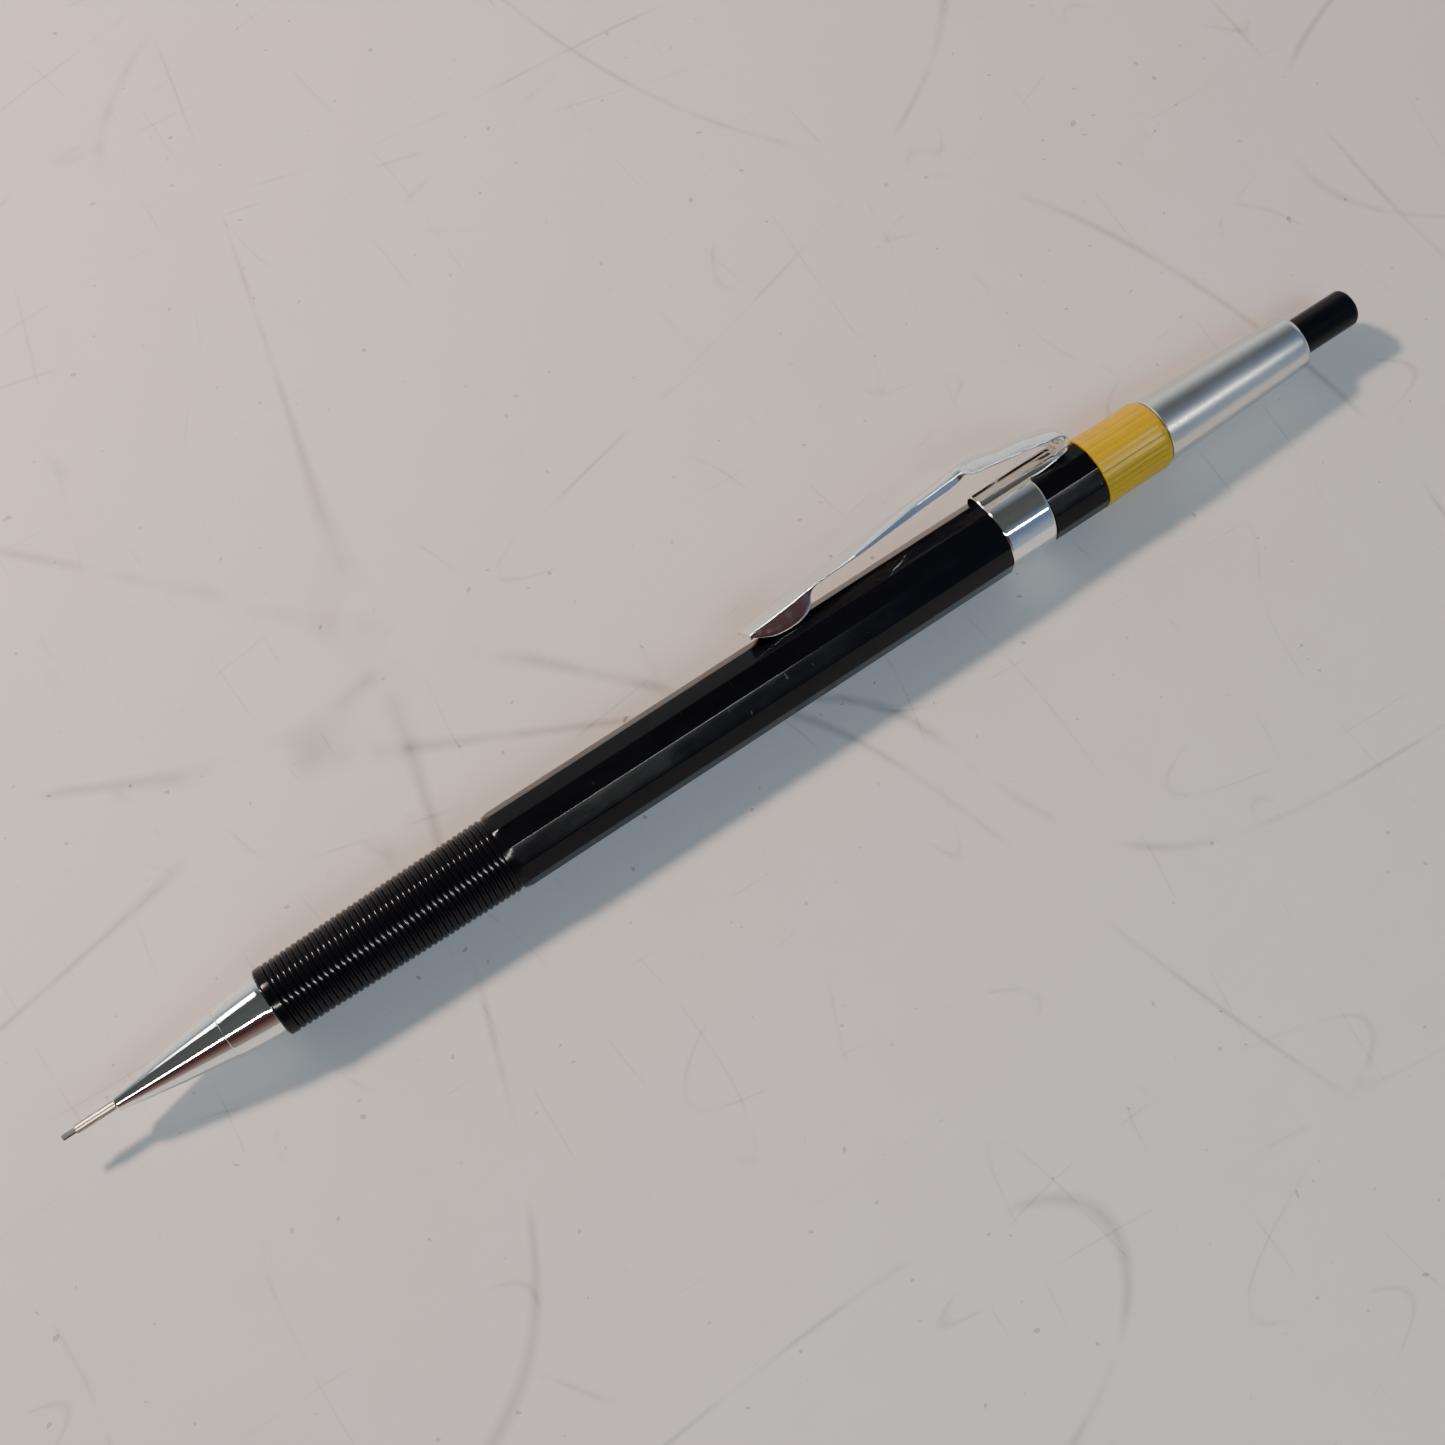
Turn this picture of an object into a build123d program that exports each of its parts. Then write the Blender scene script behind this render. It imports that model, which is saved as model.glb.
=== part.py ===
from build123d import *
import os
from math import cos, degrees, radians, sin

# Mechanical drafting pencil for 0.5 mm lead, in millimetres.
#
# Every piece is drawn on the pencil's own axis first: Z runs from the barrel's
# front face (Z = 0) back to the push button, negative Z is the nose, and +X is
# the side the pocket clip stands on. The last step lays the pencil down: its
# axis along row X with the writing tip at -X, resting on one of the barrel's
# twelve flats, with the origin in the middle of that flat.

# Stretches along the pencil, from the writing tip to the button
LEAD_OUT = 1.35
SLEEVE_OUT = 4.0
NOSE_TAPER = 11.25
NOSE_REAR = 4.8
GRIP_LENGTH = 24.8
SHANK_LENGTH = 56.2
BAND_WIDTH = 5.5
NECK_LENGTH = 6.3
RING_LENGTH = 8.2
TAIL_LENGTH = 18.0
BUTTON_OUT = 7.1

# Outside sizes
SIDES = 12
SHANK_CORNERS = 8.0
NECK_STEP = 0.25
CORNER_ROUND = 0.4
GRIP_FRONT_DIAMETER = 6.9
GRIP_RELIEF = 0.015
GRIP_SWELL = 0.3
GRIP_RIM = 0.25
GRIP_FRONT_LAND = 1.1
GRIP_REAR_LAND = 0.3
RIB_COUNT = 39
RIB_DEPTH = 0.17
NOSE_TIP_DIAMETER = 1.55
NOSE_STEP_FRONT_DIAMETER = 5.1
NOSE_STEP_BACK_DIAMETER = 5.35
NOSE_BASE_DIAMETER = 6.3
NOSE_BULGE = 0.06
NOSE_RIM = 0.22
NOSE_SHOULDER = 0.12
RING_FRONT_DIAMETER = 7.6
RING_WAIST_DIAMETER = 7.36
RING_REAR_DIAMETER = 7.42
RING_ROUND = 0.8
RING_FLUTES = 24
FLUTE_DEPTH = 0.09
FLUTE_HALF_WIDTH = 0.2
TAIL_FRONT_DIAMETER = 7.0
TAIL_REAR_DIAMETER = 5.8
TAIL_RIM_ROUND = 0.7
BUTTON_DIAMETER = 3.95
BUTTON_ROUND = 0.55

# Fits, each as a gap on the radius, and how far in a rounded edge's middle stands
RUNNING_FIT = 0.05
SEATED_FIT = 0.01
FACE_GAP = 0.02
ROUND_SHARE = 0.29

# Lead, its guide sleeve and the rubber that holds it back
LEAD_DIAMETER = 0.56
LEAD_LENGTH = 60.0
SPARE_LEADS = 3
SPARE_LEAD_RING = 0.76
SPARE_LEAD_START = 24.0
SPARE_LEAD_STAGGER = 1.5
SLEEVE_DIAMETER = 0.88
SLEEVE_RIM = 0.07
SLEEVE_BORE = 0.62
SLEEVE_SEAT_DIAMETER = 1.0
SLEEVE_SEAT = 3.75
RETAINER_DIAMETER = 1.9
RETAINER_LENGTH = 2.2

# Clutch ring, chuck and jaws
PRESS_TRAVEL = 3.2
CLUTCH_TRAVEL = 1.0
CLUTCH_LENGTH = 2.0
CLUTCH_TAPER = 0.4
CLUTCH_RIM = 0.12
JAW_COUNT = 3
JAW_SLIT = 0.14
JAW_LEAD_BORE = 0.58
JAW_HEAD_OUT = 1.15
JAW_HEAD_STEP = 0.1
JAW_PIVOT = 8.0
STEM_DIAMETER = 2.0
STEM_ROOM = 0.36
STEM_BORE = 0.8
STEM_PLUG_LENGTH = 3.0

# Nose inside
NOSE_SPIGOT_LENGTH = 4.5
NOSE_JAW_GAP = 0.32
NOSE_JAW_ROOM = 5.5
NOSE_CLUTCH_SHOULDER = 0.25
NOSE_CLUTCH_GAP = 0.08
NOSE_FUNNEL = 1.0

# Mechanism sleeve that the return spring works in
MECHANISM_FRONT = 2.2
MECHANISM_WALL_END = 4.6
MECHANISM_FLANGE = 1.0
MECHANISM_WALL = 0.48
MECHANISM_LEDGE = 0.17
MECHANISM_END = 20.0
STEM_WALL_GAP = 0.15
TUBE_ROOM = 0.35
SPRING_LENGTH = 11.0
SPRING_COIL_RADIUS = 1.4
SPRING_WIRE = 0.28
SPRING_TURNS = 9

# Lead tube, push button, eraser and cleaning pin
TUBE_WALL = 0.5
TUBE_PAST_TAIL = 2.0
BUTTON_WALL = 0.355
BUTTON_SKIRT = 6.0
ERASER_HEAD_DIAMETER = 2.5
ERASER_HEAD_ROUND = 0.3
ERASER_HEAD = 3.2
ERASER_PLUG = 3.0
ERASER_ROOM = 0.3
PIN_DIAMETER = 0.45
PIN_LENGTH = 12.0
PIN_SEAT = 2.4

# Barrel and tail inside
BARREL_BORE = 4.2
SPIGOT_DIAMETER = 5.6
SPIGOT_LENGTH = 12.5
TAIL_BORE = 4.6
BUTTON_GAP = 0.15
BUTTON_GUIDE_ROOM = 0.3
END_CONE = 0.9
END_CONE_STEP = 0.15

# Pocket clip, folded from one sheet; heights are measured out from the pencil's axis
SHEET = 0.32
BAND_RELIEF = 0.015
BAND_SEAM = 0.3
ARCH_RISE = 0.79
ARCH_RADIUS = 3.2
ARCH_HALF_ANGLE = 40
FOLD_SETBACK = 1.9
FOLD_RISE = 1.85
CLIP_REACH = 26.2
CLIP_FLEX_GAP = 0.02
LIP_TOP_DROP = 0.7
LIP_HEIGHT = 1.25
CHEEK_LENGTH = 7.3
CHEEK_OFFSET = 1.95
CHEEK_TOP_DROP = 0.8
CHEEK_FRONT_HEIGHT = 1.0
CHEEK_CLEARANCE = 0.09

# Where each stretch starts and ends on the pencil's axis
NOSE_STEP = -NOSE_REAR
NOSE_TIP = NOSE_STEP - NOSE_TAPER
SLEEVE_TIP = NOSE_TIP - SLEEVE_OUT
LEAD_TIP = SLEEVE_TIP - LEAD_OUT
GRIP_END = GRIP_LENGTH
SHANK_END = GRIP_END + SHANK_LENGTH
BAND_END = SHANK_END + BAND_WIDTH
NECK_END = BAND_END + NECK_LENGTH
RING_END = NECK_END + RING_LENGTH
TAIL_END = RING_END + TAIL_LENGTH
BUTTON_END = TAIL_END + BUTTON_OUT

MECHANISM_FLANGE_START = NOSE_SPIGOT_LENGTH + FACE_GAP
MECHANISM_FLANGE_END = MECHANISM_FLANGE_START + MECHANISM_FLANGE
CLUTCH_REAR = MECHANISM_FRONT - 2 * FACE_GAP
CLUTCH_FRONT = CLUTCH_REAR - CLUTCH_LENGTH
CLUTCH_STOP = CLUTCH_FRONT - CLUTCH_TRAVEL - FACE_GAP
RETAINER_FRONT = NOSE_TIP + SLEEVE_SEAT + 2 * FACE_GAP
RETAINER_REAR = RETAINER_FRONT + RETAINER_LENGTH
TUBE_FRONT = MECHANISM_WALL_END + SPRING_LENGTH
TUBE_END = TAIL_END + TUBE_PAST_TAIL
ERASER_END = TUBE_END + ERASER_HEAD
SPIGOT_START = RING_END - SPIGOT_LENGTH
FOLD_START = NECK_END - FOLD_SETBACK
CLIP_TIP = SHANK_END - CLIP_REACH

FLAT_RADIUS = SHANK_CORNERS / 2 * cos(radians(180 / SIDES))
NECK_CORNERS = SHANK_CORNERS - 2 * NECK_STEP
GRIP_REAR_DIAMETER = 2 * (FLAT_RADIUS - GRIP_RELIEF)
BAND_DIAMETER = 2 * (FLAT_RADIUS - BAND_RELIEF)

CLUTCH_REAR_BORE = STEM_DIAMETER + STEM_ROOM
CLUTCH_FRONT_BORE = CLUTCH_REAR_BORE + CLUTCH_TAPER
JAW_HEAD_DIAMETER = CLUTCH_FRONT_BORE + JAW_HEAD_STEP
NOSE_JAW_BORE = JAW_HEAD_DIAMETER + 2 * NOSE_JAW_GAP
NOSE_CLUTCH_BORE = NOSE_JAW_BORE + 2 * NOSE_CLUTCH_SHOULDER
CLUTCH_DIAMETER = NOSE_CLUTCH_BORE - 2 * NOSE_CLUTCH_GAP
TUBE_DIAMETER = BUTTON_DIAMETER - 2 * (BUTTON_WALL + FACE_GAP)
MECHANISM_BORE = TUBE_DIAMETER + 2 * TUBE_ROOM
MECHANISM_DIAMETER = MECHANISM_BORE + 2 * MECHANISM_WALL
NOSE_SPIGOT_DIAMETER = MECHANISM_DIAMETER + 2 * MECHANISM_LEDGE
TUBE_BORE = TUBE_DIAMETER - 2 * TUBE_WALL
BUTTON_GUIDE = BUTTON_SKIRT + PRESS_TRAVEL + BUTTON_GUIDE_ROOM

ARCH_CROWN = FLAT_RADIUS + ARCH_RISE
ARCH_AXIS = ARCH_CROWN - ARCH_RADIUS
HOOD_CROWN = ARCH_CROWN + FOLD_RISE
REST_MIDDLE = (GRIP_END + SHANK_END) / 2
CLIP_ANGLE = 30


def rod(diameter, start, end):
    """A round bar on the axis."""
    base = (Align.CENTER, Align.CENTER, Align.MIN)
    return Pos(0, 0, start) * Cylinder(diameter / 2, end - start, align=base)


def cone(start_diameter, end_diameter, start, end):
    """A tapered round bar on the axis."""
    base = (Align.CENTER, Align.CENTER, Align.MIN)
    return Pos(0, 0, start) * Cone(start_diameter / 2, end_diameter / 2, end - start, align=base)


def prism(corners, start, end):
    """A twelve-sided bar with softened edges and a flat facing the clip."""
    outline = Rot(0, 0, 180 / SIDES) * RegularPolygon(corners / 2, SIDES)
    outline = fillet(outline.vertices(), CORNER_ROUND)
    return Pos(0, 0, start) * extrude(outline, end - start)


def turned(lines):
    """A turned solid from its half outline, drawn as edges in the XZ plane."""
    return revolve(make_face(Curve() + lines), Axis.Z)


def grip_radius(z):
    """The grip widens towards the rear, a little faster at its front."""
    share = z / GRIP_LENGTH
    growth = share + GRIP_SWELL * share * (1 - share)
    return (GRIP_FRONT_DIAMETER + (GRIP_REAR_DIAMETER - GRIP_FRONT_DIAMETER) * growth) / 2


def ribbed_grip():
    """The round front of the barrel, with a plain land and rounded ribs."""
    rim = GRIP_RIM
    first = GRIP_FRONT_LAND
    pitch = (GRIP_LENGTH - first - GRIP_REAR_LAND) / RIB_COUNT
    lines = [
        Line((0, 0, 0), (grip_radius(0) - rim, 0, 0)),
        ThreePointArc(
            (grip_radius(0) - rim, 0, 0),
            (grip_radius(0) - rim * ROUND_SHARE, 0, rim * ROUND_SHARE),
            (grip_radius(0), 0, rim),
        ),
        Line((grip_radius(0), 0, rim), (grip_radius(first), 0, first - RIB_DEPTH)),
        Line((grip_radius(first), 0, first - RIB_DEPTH), (grip_radius(first) - RIB_DEPTH, 0, first)),
    ]
    for rib in range(RIB_COUNT):
        low = first + rib * pitch
        middle = low + pitch / 2
        high = low + pitch
        lines.append(
            ThreePointArc(
                (grip_radius(low) - RIB_DEPTH, 0, low),
                (grip_radius(middle), 0, middle),
                (grip_radius(high) - RIB_DEPTH, 0, high),
            )
        )
    last = first + RIB_COUNT * pitch
    foot = grip_radius(last) - RIB_DEPTH
    lines.append(Line((foot, 0, last), (foot, 0, GRIP_LENGTH)))
    lines.append(Line((foot, 0, GRIP_LENGTH), (0, 0, GRIP_LENGTH)))
    lines.append(Line((0, 0, GRIP_LENGTH), (0, 0, 0)))
    return turned(lines)


def barrel():
    seat = BAND_DIAMETER - 2 * SHEET - 2 * SEATED_FIT
    shank = prism(SHANK_CORNERS, GRIP_END, SHANK_END)
    widest = SHANK_CORNERS + 2 * END_CONE_STEP
    shank_front = cone(GRIP_REAR_DIAMETER, widest, GRIP_END, GRIP_END + END_CONE)
    shank &= shank_front + rod(widest, GRIP_END + END_CONE, SHANK_END)
    body = ribbed_grip() + shank
    body += rod(seat, SHANK_END, BAND_END)
    body += prism(NECK_CORNERS, BAND_END, NECK_END)
    body -= rod(NOSE_SPIGOT_DIAMETER + 2 * RUNNING_FIT, 0, MECHANISM_FLANGE_END)
    body -= rod(MECHANISM_DIAMETER + 2 * SEATED_FIT, 0, MECHANISM_END)
    body -= rod(BARREL_BORE, 0, NECK_END)
    body -= rod(SPIGOT_DIAMETER + 2 * SEATED_FIT, SPIGOT_START - FACE_GAP, NECK_END)
    return body


def nose_cone():
    """Chromed cone with a threaded spigot, drawn here as a plain running fit."""
    tip = NOSE_TIP_DIAMETER / 2
    step = NOSE_STEP_FRONT_DIAMETER / 2
    back = NOSE_STEP_BACK_DIAMETER / 2
    base = NOSE_BASE_DIAMETER / 2
    rim = NOSE_RIM
    middle = (NOSE_TIP + NOSE_STEP) / 2
    rear_middle = NOSE_STEP / 2
    shell = turned(
        [
            Line((0, 0, NOSE_TIP), (tip - rim, 0, NOSE_TIP)),
            ThreePointArc(
                (tip - rim, 0, NOSE_TIP),
                (tip - rim * ROUND_SHARE, 0, NOSE_TIP + rim * ROUND_SHARE),
                (tip, 0, NOSE_TIP + rim),
            ),
            ThreePointArc(
                (tip, 0, NOSE_TIP + rim),
                ((tip + step) / 2 + NOSE_BULGE, 0, middle),
                (step, 0, NOSE_STEP),
            ),
            Line((step, 0, NOSE_STEP), (back, 0, NOSE_STEP + NOSE_SHOULDER)),
            ThreePointArc(
                (back, 0, NOSE_STEP + NOSE_SHOULDER),
                ((back + base) / 2 + NOSE_BULGE / 2, 0, rear_middle),
                (base, 0, -FACE_GAP),
            ),
            Line((base, 0, -FACE_GAP), (0, 0, -FACE_GAP)),
            Line((0, 0, -FACE_GAP), (0, 0, NOSE_TIP)),
        ]
    )
    shell += rod(NOSE_SPIGOT_DIAMETER, -FACE_GAP, NOSE_SPIGOT_LENGTH)
    shell -= rod(NOSE_CLUTCH_BORE, CLUTCH_STOP, NOSE_SPIGOT_LENGTH)
    shell -= rod(NOSE_JAW_BORE, -NOSE_JAW_ROOM, CLUTCH_STOP)
    shell -= cone(RETAINER_DIAMETER, NOSE_JAW_BORE, -NOSE_JAW_ROOM - NOSE_FUNNEL, -NOSE_JAW_ROOM)
    shell -= rod(RETAINER_DIAMETER + 2 * SEATED_FIT, RETAINER_FRONT, -NOSE_JAW_ROOM)
    shell -= rod(SLEEVE_SEAT_DIAMETER + 2 * SEATED_FIT, NOSE_TIP, NOSE_TIP + SLEEVE_SEAT + FACE_GAP)
    shell -= rod(SLEEVE_BORE, NOSE_TIP, RETAINER_FRONT)
    return shell


def guide_sleeve():
    """Thin steel pipe with an eased front rim; its thicker rear is pressed into the nose."""
    pipe = rod(SLEEVE_DIAMETER, SLEEVE_TIP, NOSE_TIP)
    pipe = chamfer(pipe.edges().sort_by(Axis.Z)[0], SLEEVE_RIM)
    pipe += rod(SLEEVE_SEAT_DIAMETER, NOSE_TIP, NOSE_TIP + SLEEVE_SEAT)
    return pipe - rod(SLEEVE_BORE, SLEEVE_TIP, NOSE_TIP + SLEEVE_SEAT)


def lead_retainer():
    ring = rod(RETAINER_DIAMETER, RETAINER_FRONT, RETAINER_REAR)
    return ring - rod(JAW_LEAD_BORE, RETAINER_FRONT, RETAINER_REAR)


def mechanism_sleeve():
    """Brass sleeve, flanged between nose and barrel; the spring sits inside."""
    body = rod(NOSE_CLUTCH_BORE - 2 * RUNNING_FIT, MECHANISM_FRONT, MECHANISM_FLANGE_START)
    body += rod(NOSE_SPIGOT_DIAMETER, MECHANISM_FLANGE_START, MECHANISM_FLANGE_END - FACE_GAP)
    body += rod(MECHANISM_DIAMETER, MECHANISM_FLANGE_START, MECHANISM_END - FACE_GAP)
    body -= rod(STEM_DIAMETER + 2 * STEM_WALL_GAP, MECHANISM_FRONT, MECHANISM_WALL_END)
    body -= rod(MECHANISM_BORE, MECHANISM_WALL_END, MECHANISM_END)
    return body


def clutch_ring():
    ring = rod(CLUTCH_DIAMETER, CLUTCH_FRONT, CLUTCH_REAR)
    ring = chamfer(ring.edges().filter_by(GeomType.CIRCLE), CLUTCH_RIM)
    return ring - cone(CLUTCH_FRONT_BORE, CLUTCH_REAR_BORE, CLUTCH_FRONT, CLUTCH_REAR)


def chuck_jaw(number):
    """One third of the collet, from its slit's root forward to the gripping head."""
    front_gap = 2 * RUNNING_FIT
    head_front = CLUTCH_FRONT - JAW_HEAD_OUT
    collet = cone(
        CLUTCH_FRONT_BORE - front_gap, CLUTCH_REAR_BORE - front_gap, CLUTCH_FRONT, CLUTCH_REAR
    )
    collet += cone(
        JAW_HEAD_DIAMETER, CLUTCH_FRONT_BORE - front_gap, head_front, CLUTCH_FRONT
    )
    collet += rod(STEM_DIAMETER, CLUTCH_REAR, JAW_PIVOT)
    collet -= rod(JAW_LEAD_BORE, head_front, CLUTCH_REAR)
    collet -= rod(STEM_BORE, CLUTCH_REAR, JAW_PIVOT)
    reach = JAW_HEAD_DIAMETER
    half = radians(180 / JAW_COUNT)
    back_off = JAW_SLIT / 2 / sin(half)
    wedge = make_face(
        Polyline(
            (back_off, 0),
            (back_off + reach * cos(half), reach * sin(half)),
            (back_off + reach * 2, 0),
            (back_off + reach * cos(half), -reach * sin(half)),
            close=True,
        )
    )
    sector = Pos(0, 0, head_front) * extrude(wedge, JAW_PIVOT - head_front)
    return collet & (Rot(0, 0, number * 360 / JAW_COUNT) * sector)


def chuck_stem():
    """Rear of the collet; its plug end is pushed into the lead tube."""
    start = JAW_PIVOT + FACE_GAP
    end = TUBE_FRONT + STEM_PLUG_LENGTH
    stem = rod(STEM_DIAMETER, start, TUBE_FRONT) + rod(TUBE_BORE - 2 * SEATED_FIT, TUBE_FRONT, end)
    return stem - rod(STEM_BORE, start, end)


def return_spring():
    """Compression spring between the mechanism sleeve and the lead tube."""
    wire_room = SPRING_WIRE / 2 + FACE_GAP
    height = SPRING_LENGTH - 2 * wire_room
    path = Helix(pitch=height / SPRING_TURNS, height=height, radius=SPRING_COIL_RADIUS)
    wire_plane = Plane(origin=path @ 0, z_dir=path % 0)
    coil = sweep(wire_plane * Circle(SPRING_WIRE / 2), path, is_frenet=True)
    return Pos(0, 0, MECHANISM_WALL_END + wire_room) * coil


def lead_tube():
    return rod(TUBE_DIAMETER, TUBE_FRONT, TUBE_END) - rod(TUBE_BORE, TUBE_FRONT, TUBE_END)


def writing_lead():
    return rod(LEAD_DIAMETER, LEAD_TIP, LEAD_TIP + LEAD_LENGTH)


def spare_leads():
    """Loose refills in the lead tube, round the lead in use."""
    leads = []
    for number in range(SPARE_LEADS):
        turn = Rot(0, 0, 90 + number * 360 / SPARE_LEADS)
        start = SPARE_LEAD_START + number * SPARE_LEAD_STAGGER
        stick = rod(LEAD_DIAMETER, start, start + LEAD_LENGTH)
        leads.append(turn * Pos(SPARE_LEAD_RING, 0, 0) * stick)
    return Compound(children=leads)


def size_ring():
    """Coloured lead-size ring: slightly waisted, rounded behind, finely fluted."""
    front = RING_FRONT_DIAMETER / 2
    waist = RING_WAIST_DIAMETER / 2
    rear = RING_REAR_DIAMETER / 2
    start = NECK_END + FACE_GAP
    end = RING_END - FACE_GAP
    edge = end - RING_ROUND
    ring = turned(
        [
            Line((0, 0, start), (front, 0, start)),
            ThreePointArc((front, 0, start), (waist, 0, (start + edge) / 2), (rear, 0, edge)),
            ThreePointArc(
                (rear, 0, edge),
                (rear - RING_ROUND * 0.2, 0, end - RING_ROUND * 0.35),
                (rear - RING_ROUND * 0.62, 0, end),
            ),
            Line((rear - RING_ROUND * 0.62, 0, end), (0, 0, end)),
            Line((0, 0, end), (0, 0, start)),
        ]
    )
    ring -= rod(SPIGOT_DIAMETER + 2 * SEATED_FIT, start, end)
    outside = 2 * FLUTE_DEPTH
    notch = Polyline((0, 0), (outside, FLUTE_HALF_WIDTH), (outside, -FLUTE_HALF_WIDTH), close=True)
    groove = Pos(front - FLUTE_DEPTH, 0, start) * extrude(make_face(notch), RING_LENGTH)
    lean = degrees((front - waist) / RING_LENGTH)
    groove = Pos(0, 0, start) * Rot(0, -lean, 0) * Pos(0, 0, -start) * groove
    for number in range(RING_FLUTES):
        ring -= Rot(0, 0, number * 360 / RING_FLUTES) * groove
    return ring


def tail_tube():
    """Turned aluminium tail; its spigot passes through the ring into the barrel."""
    front = TAIL_FRONT_DIAMETER / 2
    rear = TAIL_REAR_DIAMETER / 2
    edge = TAIL_END - TAIL_RIM_ROUND
    side = front + (rear - front) * (edge - RING_END) / TAIL_LENGTH
    shell = turned(
        [
            Line((0, 0, RING_END), (front, 0, RING_END)),
            Line((front, 0, RING_END), (side, 0, edge)),
            ThreePointArc(
                (side, 0, edge),
                (side - TAIL_RIM_ROUND * 0.27, 0, TAIL_END - TAIL_RIM_ROUND * 0.3),
                (side - TAIL_RIM_ROUND * 0.8, 0, TAIL_END),
            ),
            Line((side - TAIL_RIM_ROUND * 0.8, 0, TAIL_END), (0, 0, TAIL_END)),
            Line((0, 0, TAIL_END), (0, 0, RING_END)),
        ]
    )
    shell += rod(SPIGOT_DIAMETER, SPIGOT_START, RING_END)
    shell -= rod(TAIL_BORE, SPIGOT_START, TAIL_END - BUTTON_GUIDE)
    shell -= rod(BUTTON_DIAMETER + BUTTON_GAP, TAIL_END - BUTTON_GUIDE, TAIL_END)
    return shell


def push_button():
    """Cap pushed over the lead tube's end, hollow for the eraser."""
    start = TAIL_END - BUTTON_SKIRT
    cap = rod(BUTTON_DIAMETER, start, BUTTON_END)
    cap = fillet(cap.edges().sort_by(Axis.Z)[-1], BUTTON_ROUND)
    cap -= rod(TUBE_DIAMETER + 2 * FACE_GAP, start, TUBE_END + FACE_GAP)
    cap -= rod(ERASER_HEAD_DIAMETER + 2 * RUNNING_FIT, start, ERASER_END + ERASER_ROOM)
    return cap


def eraser():
    plug_start = TUBE_END - ERASER_PLUG
    body = rod(TUBE_BORE - 2 * SEATED_FIT, plug_start, TUBE_END)
    body += rod(ERASER_HEAD_DIAMETER, TUBE_END, ERASER_END)
    body = fillet(body.edges().sort_by(Axis.Z)[-1], ERASER_HEAD_ROUND)
    return body - rod(PIN_DIAMETER + 2 * SEATED_FIT, plug_start, plug_start + PIN_SEAT)


def cleaning_pin():
    """Steel wire in the eraser, for pushing a broken lead out of the sleeve."""
    end = TUBE_END - ERASER_PLUG + PIN_SEAT - FACE_GAP
    return rod(PIN_DIAMETER, end - PIN_LENGTH, end)


def arch_face(crown, edge, half_width):
    """Cross-section of the sheet where it is pressed into an arch, in the XY plane."""
    inner_crown = crown - SHEET
    inner_half = half_width - SHEET
    outer = ThreePointArc((edge, -half_width), (crown, 0), (edge, half_width))
    inner = ThreePointArc((edge, -inner_half), (inner_crown, 0), (edge, inner_half))
    sides = [
        Line((edge, -half_width), (edge, -inner_half)),
        Line((edge, half_width), (edge, inner_half)),
    ]
    return make_face(Curve() + [outer, inner] + sides)


def swept_sheet(profile):
    """A side profile of the sheet, bent round an axis along the pencil to arch it."""
    axis = Axis((ARCH_AXIS, 0, 0), (0, 0, 1))
    start = profile.rotate(axis, -ARCH_HALF_ANGLE)
    return revolve(start, axis, 2 * ARCH_HALF_ANGLE)


def side_face(corners):
    """A flat face in the XZ plane from (height, z) corners."""
    points = [(height, 0, z) for height, z in corners]
    return make_face(Polyline(*points, close=True))


def clip_band():
    """Sprung band round the barrel, its raised bridge and the strap behind it."""
    start = SHANK_END + FACE_GAP
    end = BAND_END - FACE_GAP
    inner = ARCH_CROWN - SHEET
    half = radians(ARCH_HALF_ANGLE)
    band = rod(BAND_DIAMETER, start, end) - rod(BAND_DIAMETER - 2 * SHEET, start, end)
    band -= Pos(-BAND_DIAMETER / 2, 0, (start + end) / 2) * Box(4 * SHEET, BAND_SEAM, BAND_WIDTH)
    strap = swept_sheet(
        side_face([(inner, start), (ARCH_CROWN, start), (ARCH_CROWN, FOLD_START), (inner, FOLD_START)])
    )
    below = ARCH_AXIS + ARCH_RADIUS / 3
    under = swept_sheet(side_face([(below, start), (inner, start), (inner, end), (below, end)]))
    edge_x = ARCH_AXIS + ARCH_RADIUS * cos(half)
    edge_y = ARCH_RADIUS * sin(half)
    foot_x = BAND_DIAMETER / 2 * cos(half)
    foot_y = BAND_DIAMETER / 2 * sin(half)
    for side in (-1, 1):
        wall = make_face(
            Polyline(
                (edge_x, side * edge_y),
                (foot_x, side * foot_y),
                (foot_x - SHEET * cos(half), side * (foot_y - SHEET * sin(half))),
                (edge_x - SHEET * cos(half), side * (edge_y - SHEET * sin(half))),
                close=True,
            )
        )
        band += Pos(0, 0, start) * extrude(wall, end - start)
    return band - under + strap


def fold():
    """The U-turn where the strap comes back over itself as the clip's hood."""
    middle = (ARCH_CROWN + HOOD_CROWN - SHEET) / 2
    outer = (HOOD_CROWN - ARCH_CROWN + SHEET) / 2
    inner = outer - SHEET
    z = FOLD_START + CLIP_FLEX_GAP
    edges = [
        ThreePointArc((middle - outer, 0, z), (middle, 0, z + outer), (middle + outer, 0, z)),
        ThreePointArc((middle - inner, 0, z), (middle, 0, z + inner), (middle + inner, 0, z)),
        Line((middle - outer, 0, z), (middle - inner, 0, z)),
        Line((middle + outer, 0, z), (middle + inner, 0, z)),
    ]
    return swept_sheet(make_face(Curve() + edges))


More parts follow.
